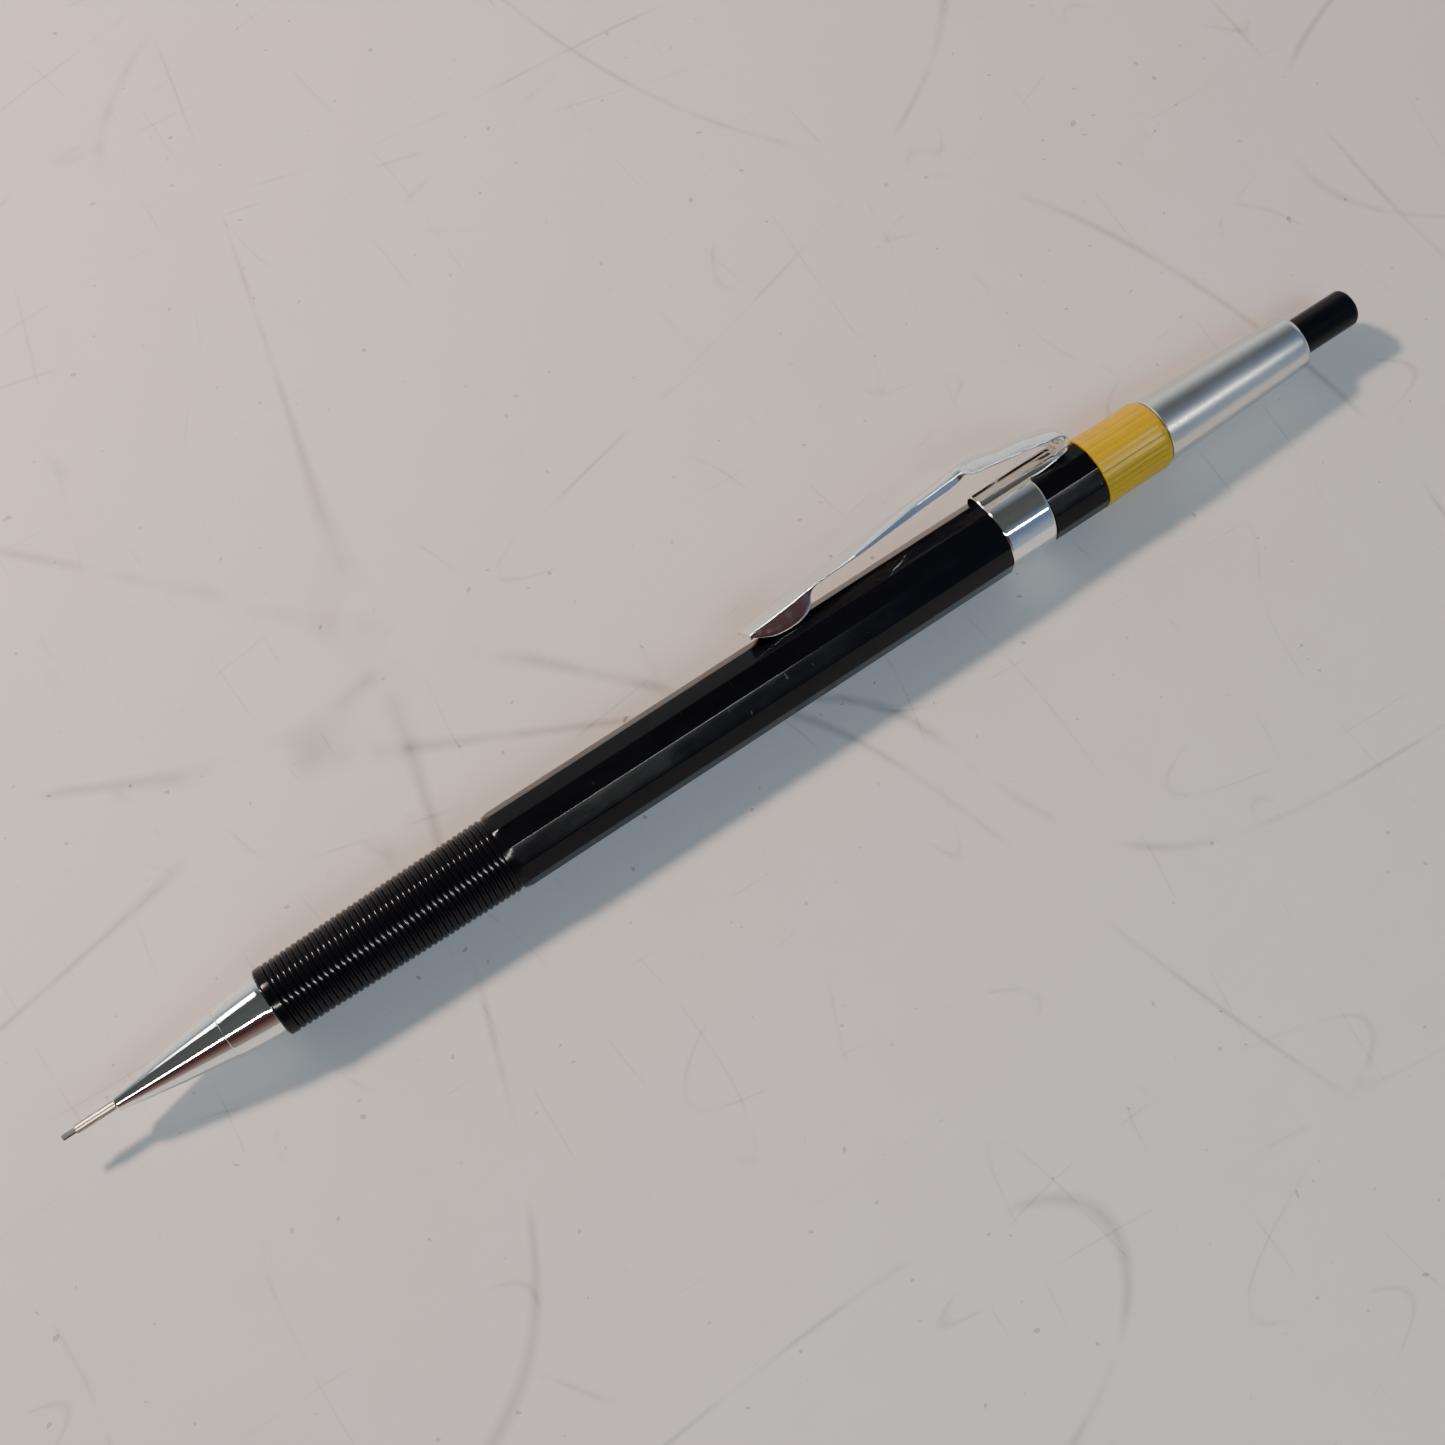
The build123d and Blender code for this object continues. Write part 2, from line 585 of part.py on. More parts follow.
def clip_sections():
    """Sections of hood, waist and arm.

    Each is its place, how far its crown rises over the fold's, its depth and its half width.
    """
    half = radians(ARCH_HALF_ANGLE)
    fold_radius = HOOD_CROWN - ARCH_AXIS
    waist = FOLD_START - SHANK_END
    return [
        (FOLD_START + CLIP_FLEX_GAP, 0.0, fold_radius * (1 - cos(half)), fold_radius * sin(half)),
        (FOLD_START - waist * 0.3, 0.6, 1.35, 2.9),
        (FOLD_START - waist * 0.55, 0.85, 1.3, 2.5),
        (FOLD_START - waist * 0.75, 1.45, 1.5, 2.0),
        (FOLD_START - waist * 0.93, 1.6, 1.4, 1.35),
        (SHANK_END - CLIP_REACH * 0.02, 1.2, 1.3, 1.0),
        (SHANK_END - CLIP_REACH * 0.4, 0.5, 1.0, 1.6),
        (SHANK_END - CLIP_REACH * 0.66, 0.0, 0.65, 2.0),
        (CLIP_TIP, -0.8, 0.5, 2.0),
    ]


def cheek():
    """D-shaped ear that rides down beside the barrel, drawn in the XZ plane."""
    top = HOOD_CROWN - CHEEK_TOP_DROP
    front = top - CHEEK_FRONT_HEIGHT
    lean = radians(180 / SIDES * 2)
    facet = (FLAT_RADIUS - (CHEEK_OFFSET - SHEET) * sin(lean)) / cos(lean)
    bottom = facet + CHEEK_CLEARANCE
    tip = CLIP_TIP
    outline = Curve() + [
        Line((top, 0, tip), (front, 0, tip)),
        ThreePointArc(
            (front, 0, tip),
            (bottom + (front - bottom) * 0.25, 0, tip + CHEEK_LENGTH * 0.25),
            (bottom, 0, tip + CHEEK_LENGTH * 0.52),
        ),
        ThreePointArc(
            (bottom, 0, tip + CHEEK_LENGTH * 0.52),
            (bottom + (top - bottom) * 0.29, 0, tip + CHEEK_LENGTH * 0.84),
            (top, 0, tip + CHEEK_LENGTH),
        ),
        Line((top, 0, tip + CHEEK_LENGTH), (top, 0, tip)),
    ]
    return make_face(outline)


def clip_arm():
    """Fold, hood, waist and arm, with an ear each side of the barrel and an end lip."""
    faces = []
    for place, rise, depth, half_width in clip_sections():
        crown = HOOD_CROWN + rise
        faces.append(Pos(0, 0, place) * arch_face(crown, crown - depth, half_width))
    arm = loft(faces, ruled=True)
    arm += fold()
    ear = cheek()
    for side in (-1, 1):
        arm += extrude(Pos(0, side * (CHEEK_OFFSET - SHEET / 2), 0) * ear, SHEET / 2, both=True)
    lip_middle = HOOD_CROWN - LIP_TOP_DROP - LIP_HEIGHT / 2
    arm += Pos(lip_middle, 0, CLIP_TIP + SHEET / 2) * Box(LIP_HEIGHT, 2 * CHEEK_OFFSET, SHEET)
    return arm


LAID_DOWN = Plane(
    origin=(-REST_MIDDLE, 0, FLAT_RADIUS),
    x_dir=(0, cos(radians(CLIP_ANGLE)), sin(radians(CLIP_ANGLE))),
    z_dir=(1, 0, 0),
).location

PIECES = {
    "barrel": barrel(),
    "nose_cone": nose_cone(),
    "guide_sleeve": guide_sleeve(),
    "lead_retainer": lead_retainer(),
    "mechanism_sleeve": mechanism_sleeve(),
    "clutch_ring": clutch_ring(),
    "chuck_stem": chuck_stem(),
    "return_spring": return_spring(),
    "lead_tube": lead_tube(),
    "writing_lead": writing_lead(),
    "spare_leads": spare_leads(),
    "size_ring": size_ring(),
    "tail_tube": tail_tube(),
    "push_button": push_button(),
    "eraser": eraser(),
    "cleaning_pin": cleaning_pin(),
    "clip_band": clip_band(),
    "clip_arm": clip_arm(),
}
for jaw in range(JAW_COUNT):
    PIECES[f"chuck_jaw_{jaw + 1}"] = chuck_jaw(jaw)

os.makedirs("parts", exist_ok=True)
for name, piece in PIECES.items():
    export_step(LAID_DOWN * piece, f"parts/{name}.step")
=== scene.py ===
from math import atan, cos, pi, radians, sin, sqrt, tan

import bmesh
import bpy
from bpy.props import FloatProperty, FloatVectorProperty, IntProperty, PointerProperty
from mathutils import Matrix, Vector


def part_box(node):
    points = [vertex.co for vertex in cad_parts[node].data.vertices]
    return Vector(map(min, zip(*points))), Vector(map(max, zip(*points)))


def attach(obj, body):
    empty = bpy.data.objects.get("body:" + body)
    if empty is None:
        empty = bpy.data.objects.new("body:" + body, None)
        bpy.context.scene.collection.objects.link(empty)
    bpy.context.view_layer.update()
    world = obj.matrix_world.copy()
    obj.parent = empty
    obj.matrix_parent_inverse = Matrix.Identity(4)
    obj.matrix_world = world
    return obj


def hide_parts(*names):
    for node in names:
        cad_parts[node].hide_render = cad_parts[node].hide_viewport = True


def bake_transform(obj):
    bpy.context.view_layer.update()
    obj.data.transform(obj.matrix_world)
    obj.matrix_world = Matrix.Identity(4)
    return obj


bl_info = {
    "name": "Drafting pencil",
    "version": (1, 0, 0),
    "blender": (4, 5, 0),
    "location": "View3D > Sidebar > Pencil",
    "description": "Builds the finished skin of a mechanical drafting pencil around its mechanical model",
    "category": "Add Mesh",
}

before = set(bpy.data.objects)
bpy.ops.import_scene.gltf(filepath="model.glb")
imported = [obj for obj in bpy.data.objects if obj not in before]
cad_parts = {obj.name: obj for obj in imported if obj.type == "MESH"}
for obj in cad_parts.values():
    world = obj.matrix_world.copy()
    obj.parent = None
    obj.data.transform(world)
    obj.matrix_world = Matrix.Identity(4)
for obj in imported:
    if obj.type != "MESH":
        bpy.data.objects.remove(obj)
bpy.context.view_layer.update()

# Everything below is in metres, in the mechanical model's own frame.
MM = 0.001


def low(node, axis=0):
    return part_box(node)[0][axis]


def high(node, axis=0):
    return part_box(node)[1][axis]


def radius_of(node):
    """Half of a round piece's width."""
    return (high(node, 1) - low(node, 1)) / 2


# Places along the pencil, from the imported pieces
AXIS_HEIGHT = (low("writing_lead", 2) + high("writing_lead", 2)) / 2
LEAD_TIP = low("writing_lead")
SLEEVE_TIP = low("guide_sleeve")
NOSE_TIP = low("nose_cone")
BARREL_FRONT = low("barrel")
BARREL_END = high("barrel")
BAND_FRONT = low("clip_band")
TAIL_END = high("tail_tube")
BUTTON_END = high("push_button")
FLAT_RADIUS = (high("barrel", 2) - low("barrel", 2)) / 2

CLIP_LEAN = radians(30)
TOWARDS_CLIP = Vector((0, cos(CLIP_LEAN), sin(CLIP_LEAN)))
ACROSS_CLIP = Vector((0, -sin(CLIP_LEAN), cos(CLIP_LEAN)))


def place(x, out, across):
    """A point from its place along the pencil and its distances towards and across the clip's side."""
    return Vector((x, 0, AXIS_HEIGHT)) + out * TOWARDS_CLIP + across * ACROSS_CLIP


# -------- sizes and colours


class PencilShape(bpy.types.PropertyGroup):
    rib_count: IntProperty(name="Ribs", description="Ribs round the grip", default=39, min=1)
    rib_depth: FloatProperty(
        name="Rib depth", description="Depth of the grooves in the grip", default=0.17 * MM, unit="LENGTH"
    )
    corner_round: FloatProperty(
        name="Corner round", description="Rounding of the barrel's corners", default=0.4 * MM, unit="LENGTH"
    )
    sheet: FloatProperty(
        name="Clip sheet", description="Thickness of the clip's sheet", default=0.32 * MM, unit="LENGTH"
    )
    ring_flutes: IntProperty(name="Ring flutes", description="Fine lines round the ring", default=24, min=3)
    spring_turns: IntProperty(name="Spring turns", description="Turns of the return spring", default=9, min=2)


class PencilFinish(bpy.types.PropertyGroup):
    barrel: FloatVectorProperty(
        name="Barrel",
        description="Moulded barrel and button",
        default=(0.003, 0.003, 0.0045),
        subtype="COLOR",
    )
    chrome: FloatVectorProperty(
        name="Chrome", description="Plated nose and clip", default=(0.80, 0.81, 0.80), subtype="COLOR"
    )
    ring: FloatVectorProperty(
        name="Ring", description="Lead-size ring", default=(0.50, 0.30, 0.002), subtype="COLOR"
    )
    tail: FloatVectorProperty(
        name="Tail", description="Satin aluminium tail", default=(0.66, 0.66, 0.65), subtype="COLOR"
    )
    gloss: FloatProperty(
        name="Barrel roughness", description="Lower is glossier", default=0.12, min=0, max=1, subtype="FACTOR"
    )


class StudioLook(bpy.types.PropertyGroup):
    floor: FloatVectorProperty(
        name="Floor", description="Pale floor", default=(0.66, 0.615, 0.585), subtype="COLOR"
    )
    turn: FloatProperty(
        name="Camera turn", description="Turn from row Y towards X", default=radians(34.4), subtype="ANGLE"
    )
    lift: FloatProperty(
        name="Camera lift", description="Angle above the floor", default=radians(71.5), subtype="ANGLE"
    )
    distance: FloatProperty(
        name="Camera distance", description="From the aim point", default=196.7 * MM, unit="LENGTH"
    )
    lens: FloatProperty(name="Lens", description="Focal length on a 36 mm frame", default=51.8, unit="CAMERA")


# -------- shader expressions


class Wire:
    """A shader socket that takes part in Python arithmetic; each operation adds its Math node."""

    def __init__(self, finish, socket):
        self.finish = finish
        self.socket = socket

    def maths(self, operation, first, second):
        return self.finish.add("ShaderNodeMath", {"operation": operation}, {0: first, 1: second})

    def __add__(self, other):
        return self.maths("ADD", self, other)

    def __radd__(self, other):
        return self.maths("ADD", other, self)

    def __sub__(self, other):
        return self.maths("SUBTRACT", self, other)

    def __rsub__(self, other):
        return self.maths("SUBTRACT", other, self)

    def __mul__(self, other):
        return self.maths("MULTIPLY", self, other)

    def __rmul__(self, other):
        return self.maths("MULTIPLY", other, self)


def set_stops(ramp, stops):
    """Gives a colour ramp its stops, each a position with a grey or a colour."""
    while len(ramp.elements) < len(stops):
        ramp.elements.new(0.5)
    for element, (position, shade) in zip(ramp.elements, stops):
        element.position = position
        element.color = (shade, shade, shade, 1) if isinstance(shade, float) else (*shade, 1)


class Finish:
    """One material under construction."""

    def __init__(self, name):
        self.material = bpy.data.materials.new(name)
        self.material.use_nodes = True
        self.nodes = self.material.node_tree.nodes
        self.links = self.material.node_tree.links
        self.nodes.clear()
        self.shader = self.nodes.new("ShaderNodeBsdfPrincipled")
        output = self.nodes.new("ShaderNodeOutputMaterial")
        self.links.new(self.shader.outputs[0], output.inputs[0])

    def add(self, kind, settings=None, values=None, output=0):
        """Adds a node: its settings first, then its sockets' values or links; gives one output."""
        node = self.nodes.new(kind)
        for key, setting in (settings or {}).items():
            if key == "stops":
                set_stops(node.color_ramp, setting)
            else:
                setattr(node, key, setting)
        for key, value in (values or {}).items():
            self.put(node.inputs[key], value)
        return Wire(self, node.outputs[output])

    def put(self, socket, value):
        if isinstance(value, Wire):
            self.links.new(value.socket, socket)
        elif socket.type == "RGBA" and len(value) == 3:
            socket.default_value = (*value, 1)
        else:
            socket.default_value = value

    def set(self, **values):
        """Sets the shader's own sockets, named with underscores for spaces."""
        for key, value in values.items():
            self.put(self.shader.inputs[key.replace("_", " ")], value)

    def coordinates(self, stretch=(1, 1, 1), turn=(0, 0, 0)):
        own = self.add("ShaderNodeTexCoord", output="Object")
        return self.add("ShaderNodeMapping", values={"Vector": own, "Scale": stretch, "Rotation": turn})

    def noise(self, size, stretch=(1, 1, 1), detail=4.0, rough=0.55, turn=(0, 0, 0)):
        """Cloudy variation from 0 to 1; size is that of one cloud, in metres."""
        where = self.coordinates(stretch, turn)
        values = {"Vector": where, "Scale": 1 / size, "Detail": detail, "Roughness": rough}
        return self.add("ShaderNodeTexNoise", values=values)

    def ramp(self, value, stops):
        return self.add("ShaderNodeValToRGB", {"stops": stops}, {"Fac": value})

    def rise(self, value, start, end):
        """0 up to the start, 1 from the end."""
        return self.ramp(value, [(start, 0.0), (end, 1.0)])

    def hairs(self, size, width, stretch, turn):
        """Fine wandering lines, 1 on a line: the level lines of a broad noise.

        width is how far the noise may stand from its level within a line.
        """
        field = self.noise(size, stretch, detail=0.0, turn=(0, 0, turn))
        return self.ramp(field, [(0.5 - width, 0.0), (0.5, 1.0), (0.5 + width, 0.0)])

    def between(self, share, first, second):
        """A colour between two colours."""
        values = {0: share, 6: first, 7: second}
        return self.add("ShaderNodeMix", {"data_type": "RGBA"}, values, output=2)

    def bump(self, height, depth, strength=1.0):
        values = {"Height": height, "Distance": depth, "Strength": strength}
        self.set(Normal=self.add("ShaderNodeBump", values=values))


# -------- materials


def shaded(colour, factor):
    return tuple(min(1.0, channel * factor) for channel in colour)


def tinted(colour, *factors):
    return tuple(channel * factor for channel, factor in zip(colour, factors))


def glossy_black(name, colour, roughness):
    """Moulded plastic polished by handling: faint haze, finger smears and small nicks."""
    finish = Finish(name)
    haze = finish.noise(6 * MM, (0.35, 1, 1), detail=5.0)
    smears = finish.noise(1.6 * MM, (0.4, 1, 1), detail=6.0, rough=0.65)
    specks = finish.noise(0.12 * MM, detail=2.0)
    nicks = finish.noise(0.7 * MM, (1, 0.25, 1), detail=3.0, turn=(0.3, 0.2, 0.8))
    nick = finish.rise(nicks, 0.71, 0.74)
    worn = finish.rise(haze * 0.6 + smears * 0.4, 0.38, 0.7)
    base = finish.between(worn, shaded(colour, 0.8), shaded(colour, 1.5))
    base = finish.between(nick * 0.3, base, shaded(colour, 8))
    finish.set(Base_Color=base, Roughness=roughness + worn * 0.09 + nick * 0.2)
    finish.set(Specular_IOR_Level=0.14)
    finish.bump(specks * 0.3 + smears * 0.7 - nick * 0.5, 0.008 * MM, 0.3)
    return finish.material


def chrome_plate(name, colour, roughness=0.03):
    """Bright plating: slight orange peel, hazy fingerprints and fine rubbing marks."""
    finish = Finish(name)
    peel = finish.noise(0.9 * MM, detail=2.0, rough=0.4)
    prints = finish.noise(1.3 * MM, detail=6.0, rough=0.7)
    rubbed = finish.noise(0.25 * MM, (0.08, 1, 1), detail=3.0)
    haze = finish.rise(prints, 0.48, 0.72)
    base = finish.between(haze, colour, shaded(colour, 0.9))
    finish.set(Base_Color=base, Metallic=1.0)
    finish.set(Roughness=roughness + haze * 0.04 + rubbed * 0.02)
    finish.bump(peel * 0.8 + rubbed * 0.2, 0.01 * MM, 0.25)
    return finish.material


def dull_steel(name, colour, roughness=0.3):
    """Drawn steel, browned a little by handling, with lengthwise draw marks."""
    finish = Finish(name)
    drawn = finish.noise(0.12 * MM, (0.06, 1, 1), detail=4.0)
    stain = finish.noise(0.9 * MM, detail=5.0, rough=0.6)
    patches = finish.rise(stain, 0.4, 0.68)
    base = finish.between(patches, colour, tinted(colour, 0.72, 0.62, 0.52))
    finish.set(Base_Color=base, Metallic=1.0, Roughness=roughness + patches * 0.12 + drawn * 0.08)
    finish.bump(drawn, 0.01 * MM, 0.5)
    return finish.material


def turned_brass(name, colour):
    """Machined brass with tool lines round the axis and slight tarnish."""
    finish = Finish(name)
    lines = finish.noise(0.14 * MM, (1, 0.02, 0.02), detail=3.0)
    tarnish = finish.noise(1.8 * MM, detail=5.0)
    patches = finish.rise(tarnish, 0.4, 0.7)
    base = finish.between(patches, colour, tinted(colour, 0.7, 0.6, 0.45))
    finish.set(Base_Color=base, Metallic=1.0, Roughness=0.22 + patches * 0.15 + lines * 0.08)
    finish.bump(lines, 0.012 * MM, 0.5)
    return finish.material


def satin_aluminium(name, colour):
    """Turned and satin anodised: very fine lines round the axis under a soft sheen."""
    finish = Finish(name)
    lines = finish.noise(0.09 * MM, (1, 0.015, 0.015), detail=4.0, rough=0.6)
    cloud = finish.noise(5 * MM, (0.4, 1, 1), detail=4.0)
    nicks = finish.noise(0.35 * MM, detail=2.0)
    nick = finish.rise(nicks, 0.72, 0.76)
    soft = finish.rise(cloud, 0.35, 0.7)
    base = finish.between(soft, shaded(colour, 0.93), shaded(colour, 1.05))
    base = finish.between(nick * 0.5, base, shaded(colour, 0.6))
    finish.set(Base_Color=base, Metallic=1.0, Roughness=0.19 + soft * 0.05 + lines * 0.05)
    finish.bump(lines * 0.6 - nick * 0.4, 0.008 * MM, 0.45)
    return finish.material


def moulded_ring(name, colour):
    """Yellow moulded plastic: a little cloudy, with faint grime and a fine moulded grain."""
    finish = Finish(name)
    cloud = finish.noise(2.2 * MM, detail=5.0)
    grime = finish.noise(0.8 * MM, detail=6.0, rough=0.65)
    grain = finish.noise(0.07 * MM, detail=2.0)
    dirt = finish.rise(grime, 0.55, 0.8)
    base = finish.between(cloud, shaded(colour, 0.88), shaded(colour, 1.1))
    base = finish.between(dirt * 0.35, base, tinted(colour, 0.5, 0.42, 1))
    finish.set(Base_Color=base, Roughness=0.33 + cloud * 0.06 + dirt * 0.1)
    finish.set(Specular_IOR_Level=0.35)
    finish.bump(grain * 0.6 + grime * 0.4, 0.01 * MM, 0.3)
    return finish.material


def graphite(name):
    """Lead: grey-black with a dull metallic glint and powdery streaks."""
    finish = Finish(name)
    streak = finish.noise(0.08 * MM, (0.2, 1, 1), detail=4.0)
    base = finish.between(streak, (0.028, 0.028, 0.03), (0.11, 0.11, 0.115))
    finish.set(Base_Color=base, Metallic=0.25, Roughness=0.42 + streak * 0.2)
    finish.bump(streak, 0.012 * MM, 0.5)
    return finish.material


def soft_rubber(name, colour):
    finish = Finish(name)
    grain = finish.noise(0.1 * MM, detail=4.0)
    rubbed = finish.noise(0.9 * MM, detail=5.0)
    patches = finish.rise(rubbed, 0.45, 0.72)
    base = finish.between(patches * 0.5, colour, shaded(colour, 0.55))
    finish.set(Base_Color=base, Roughness=0.72 + grain * 0.15, Specular_IOR_Level=0.3)
    finish.bump(grain, 0.02 * MM, 0.6)
    return finish.material


def milky_tube(name, colour):
    """Natural plastic of the lead tube, slightly see-through and rubbed with graphite."""
    finish = Finish(name)
    dust = finish.noise(1.1 * MM, (0.3, 1, 1), detail=6.0, rough=0.65)
    grey = finish.rise(dust, 0.5, 0.8)
    base = finish.between(grey * 0.6, colour, (0.25, 0.25, 0.26))
    finish.set(Base_Color=base, Roughness=0.33 + grey * 0.2)
    finish.set(Subsurface_Weight=0.3, Subsurface_Scale=0.001)
    finish.bump(dust, 0.01 * MM, 0.4)
    return finish.material


def painted_floor(name, colour):
    """Pale laminate worn by years of work: clouds, specks and long hair scratches."""
    finish = Finish(name)
    cloud = finish.noise(90 * MM, detail=4.0)
    mottle = finish.noise(7 * MM, detail=6.0, rough=0.7)
    grain = finish.noise(0.5 * MM, detail=3.0)
    long_hairs = finish.hairs(58 * MM, width=0.0013, stretch=(1, 0.4, 1), turn=0.4)
    long_hairs += finish.hairs(52 * MM, width=0.0013, stretch=(0.4, 1, 1), turn=0.9)
    fine_hairs = finish.hairs(15 * MM, width=0.004, stretch=(0.2, 1, 1), turn=0.9)
    fine_hairs += finish.hairs(12 * MM, width=0.005, stretch=(1, 0.2, 1), turn=0.2)
    broken = finish.rise(finish.noise(18 * MM, detail=3.0), 0.44, 0.56)
    sparse = finish.rise(finish.noise(9 * MM, detail=3.0), 0.5, 0.6)
    speck = finish.rise(finish.noise(1.3 * MM, detail=1.0), 0.745, 0.775)
    marks = long_hairs * broken * 0.42 + fine_hairs * sparse * 0.28 + speck * 0.55
    base = finish.between(cloud, shaded(colour, 0.97), shaded(colour, 1.03))
    base = finish.between(mottle * 0.6, base, tinted(colour, 0.9, 0.86, 0.85))
    base = finish.between(grain * 0.2, base, shaded(colour, 0.9))
    base = finish.between(marks, base, shaded(colour, 0.3))
    finish.set(Base_Color=base, Roughness=0.55 + cloud * 0.08, Specular_IOR_Level=0.3)
    finish.bump(grain - marks * 2, 0.01 * MM, 0.25)
    return finish.material


# -------- mesh tools


def new_piece(name, shape, material):
    """Turns a bmesh into an object of one material."""
    mesh = bpy.data.meshes.new(name)
    shape.to_mesh(mesh)
    shape.free()
    mesh.materials.append(material)
    piece = bpy.data.objects.new(name, mesh)
    bpy.context.scene.collection.objects.link(piece)
    return piece


def finished_piece(name, shape, material, sharp=35):
    """A piece with smooth faces and crisp edges."""
    bmesh.ops.remove_doubles(shape, verts=shape.verts, dist=0.0001 * MM)
    bmesh.ops.recalc_face_normals(shape, faces=shape.faces)
    piece = new_piece(name, shape, material)
    piece.data.shade_smooth()
    piece.data.set_sharp_from_angle(angle=radians(sharp))
    return piece


def join_rows(shape, first, second, ring=False):
    """Faces between two rows of points; a ring's last point joins its first."""
    count = len(first)
    for this in range(count if ring else count - 1):
        ahead = (this + 1) % count
        shape.faces.new((first[this], first[ahead], second[ahead], second[this]))


def ringed_piece(name, stations, angles, material, closed=True):
    """Joins rings round the axis; a station is a place and a radius, or a radius by angle."""
    shape = bmesh.new()
    rings = []
    for x, radius in stations:
        ring = []
        for angle in angles:
            distance = radius(angle) if callable(radius) else radius
            ring.append(shape.verts.new(place(x, distance * cos(angle), distance * sin(angle))))
        rings.append(ring)
    following = rings[1:] + rings[:1] if closed else rings[1:]
    for first, second in zip(rings, following):
        join_rows(shape, first, second, ring=True)
    return finished_piece(name, shape, material)


def even_angles(count):
    return [2 * pi * number / count for number in range(count)]


def rounded_edge(x_start, r_start, x_end, r_end, steps=6):
    """Stations of a quarter round between two points of an outline."""
    stations = []
    for step in range(steps + 1):
        angle = pi / 2 * step / steps
        along = x_start + (x_end - x_start) * (1 - cos(angle))
        stations.append((along, r_start + (r_end - r_start) * sin(angle)))
    return stations


def rounded_end(end, length, radius, depth, steps=9):
    """Stations of a rounded rear end, after its first."""
    stations = []
    for number in range(1, steps + 1):
        angle = pi / 2 * number / steps
        stations.append((end - length + length * sin(angle), radius - depth * (1 - cos(angle))))
    return stations


def bowed_line(x_start, r_start, x_end, r_end, bow, steps):
    """Stations of a taper that stands proud by bow at its middle, after its first."""
    stations = []
    for number in range(1, steps + 1):
        share = number / steps
        radius = r_start + (r_end - r_start) * share + 4 * bow * share * (1 - share)
        stations.append((x_start + (x_end - x_start) * share, radius))
    return stations


def faceted(flat_radius, corner_round, sides=12):
    """Radius by angle of a polygon with rounded corners and a flat at angle 0."""
    half = pi / sides
    centre = (flat_radius - corner_round) / cos(half)
    tangent = atan((flat_radius - corner_round) * tan(half) / flat_radius)

    def radius(angle):
        turn = abs((angle + half) % (2 * half) - half)
        if turn <= tangent:
            return flat_radius / cos(turn)
        aside = half - turn
        return centre * cos(aside) + sqrt(corner_round**2 - (centre * sin(aside)) ** 2)

    return radius


def facet_angles(flat_radius, corner_round, sides=12, flat_steps=4, corner_steps=6):
    """Angles that put points close together at the corners and wide on the flats."""
    half = pi / sides
    tangent = atan((flat_radius - corner_round) * tan(half) / flat_radius)
    angles = []
    for side in range(sides):
        middle = 2 * half * side
        for step in range(flat_steps):
            angles.append(middle - tangent + 2 * tangent * step / flat_steps)
        for step in range(corner_steps):
            angles.append(middle + tangent + 2 * (half - tangent) * step / corner_steps)
    return angles


# -------- barrel, nose and lead

NOSE_SPIGOT_HOLE = 2.65 * MM
MECHANISM_HOLE = 2.44 * MM
BARREL_BORE = 2.1 * MM
TAIL_SPIGOT_HOLE = 2.81 * MM
NECK_FLAT = 3.622 * MM
GRIP_LENGTH = 24.8 * MM
GRIP_FRONT_RADIUS = 3.45 * MM
GRIP_REAR_GAP = 0.015 * MM
GRIP_SWELL = 0.3
THREAD_RADIUS = 2.6 * MM
CLUTCH_ROOM = 2.0 * MM
JAW_ROOM = 1.75 * MM
RETAINER_ROOM = 0.96 * MM
SLEEVE_HOLE = 0.51 * MM


def grip_radius(share):
    """The grip widens towards the rear, a little faster at its front."""
    rear = FLAT_RADIUS - GRIP_REAR_GAP
    growth = share + GRIP_SWELL * share * (1 - share)
    return GRIP_FRONT_RADIUS + (rear - GRIP_FRONT_RADIUS) * growth


def rib_stations(shape):
    """The ribs' rounded crests with narrow grooves between them."""
    land = 1.1 * MM
    rear_land = 0.3 * MM
    steps = 8
    pitch = (GRIP_LENGTH - land - rear_land) / shape.rib_count
    stations = []
    for rib in range(shape.rib_count):
        for step in range(steps):
            share = step / steps
            along = land + (rib + share) * pitch
            crest = 1 - abs(2 * share - 1) ** 2.6
            outside = grip_radius(along / GRIP_LENGTH) - shape.rib_depth * (1 - crest)
            stations.append((BARREL_FRONT + along, outside))
    return stations


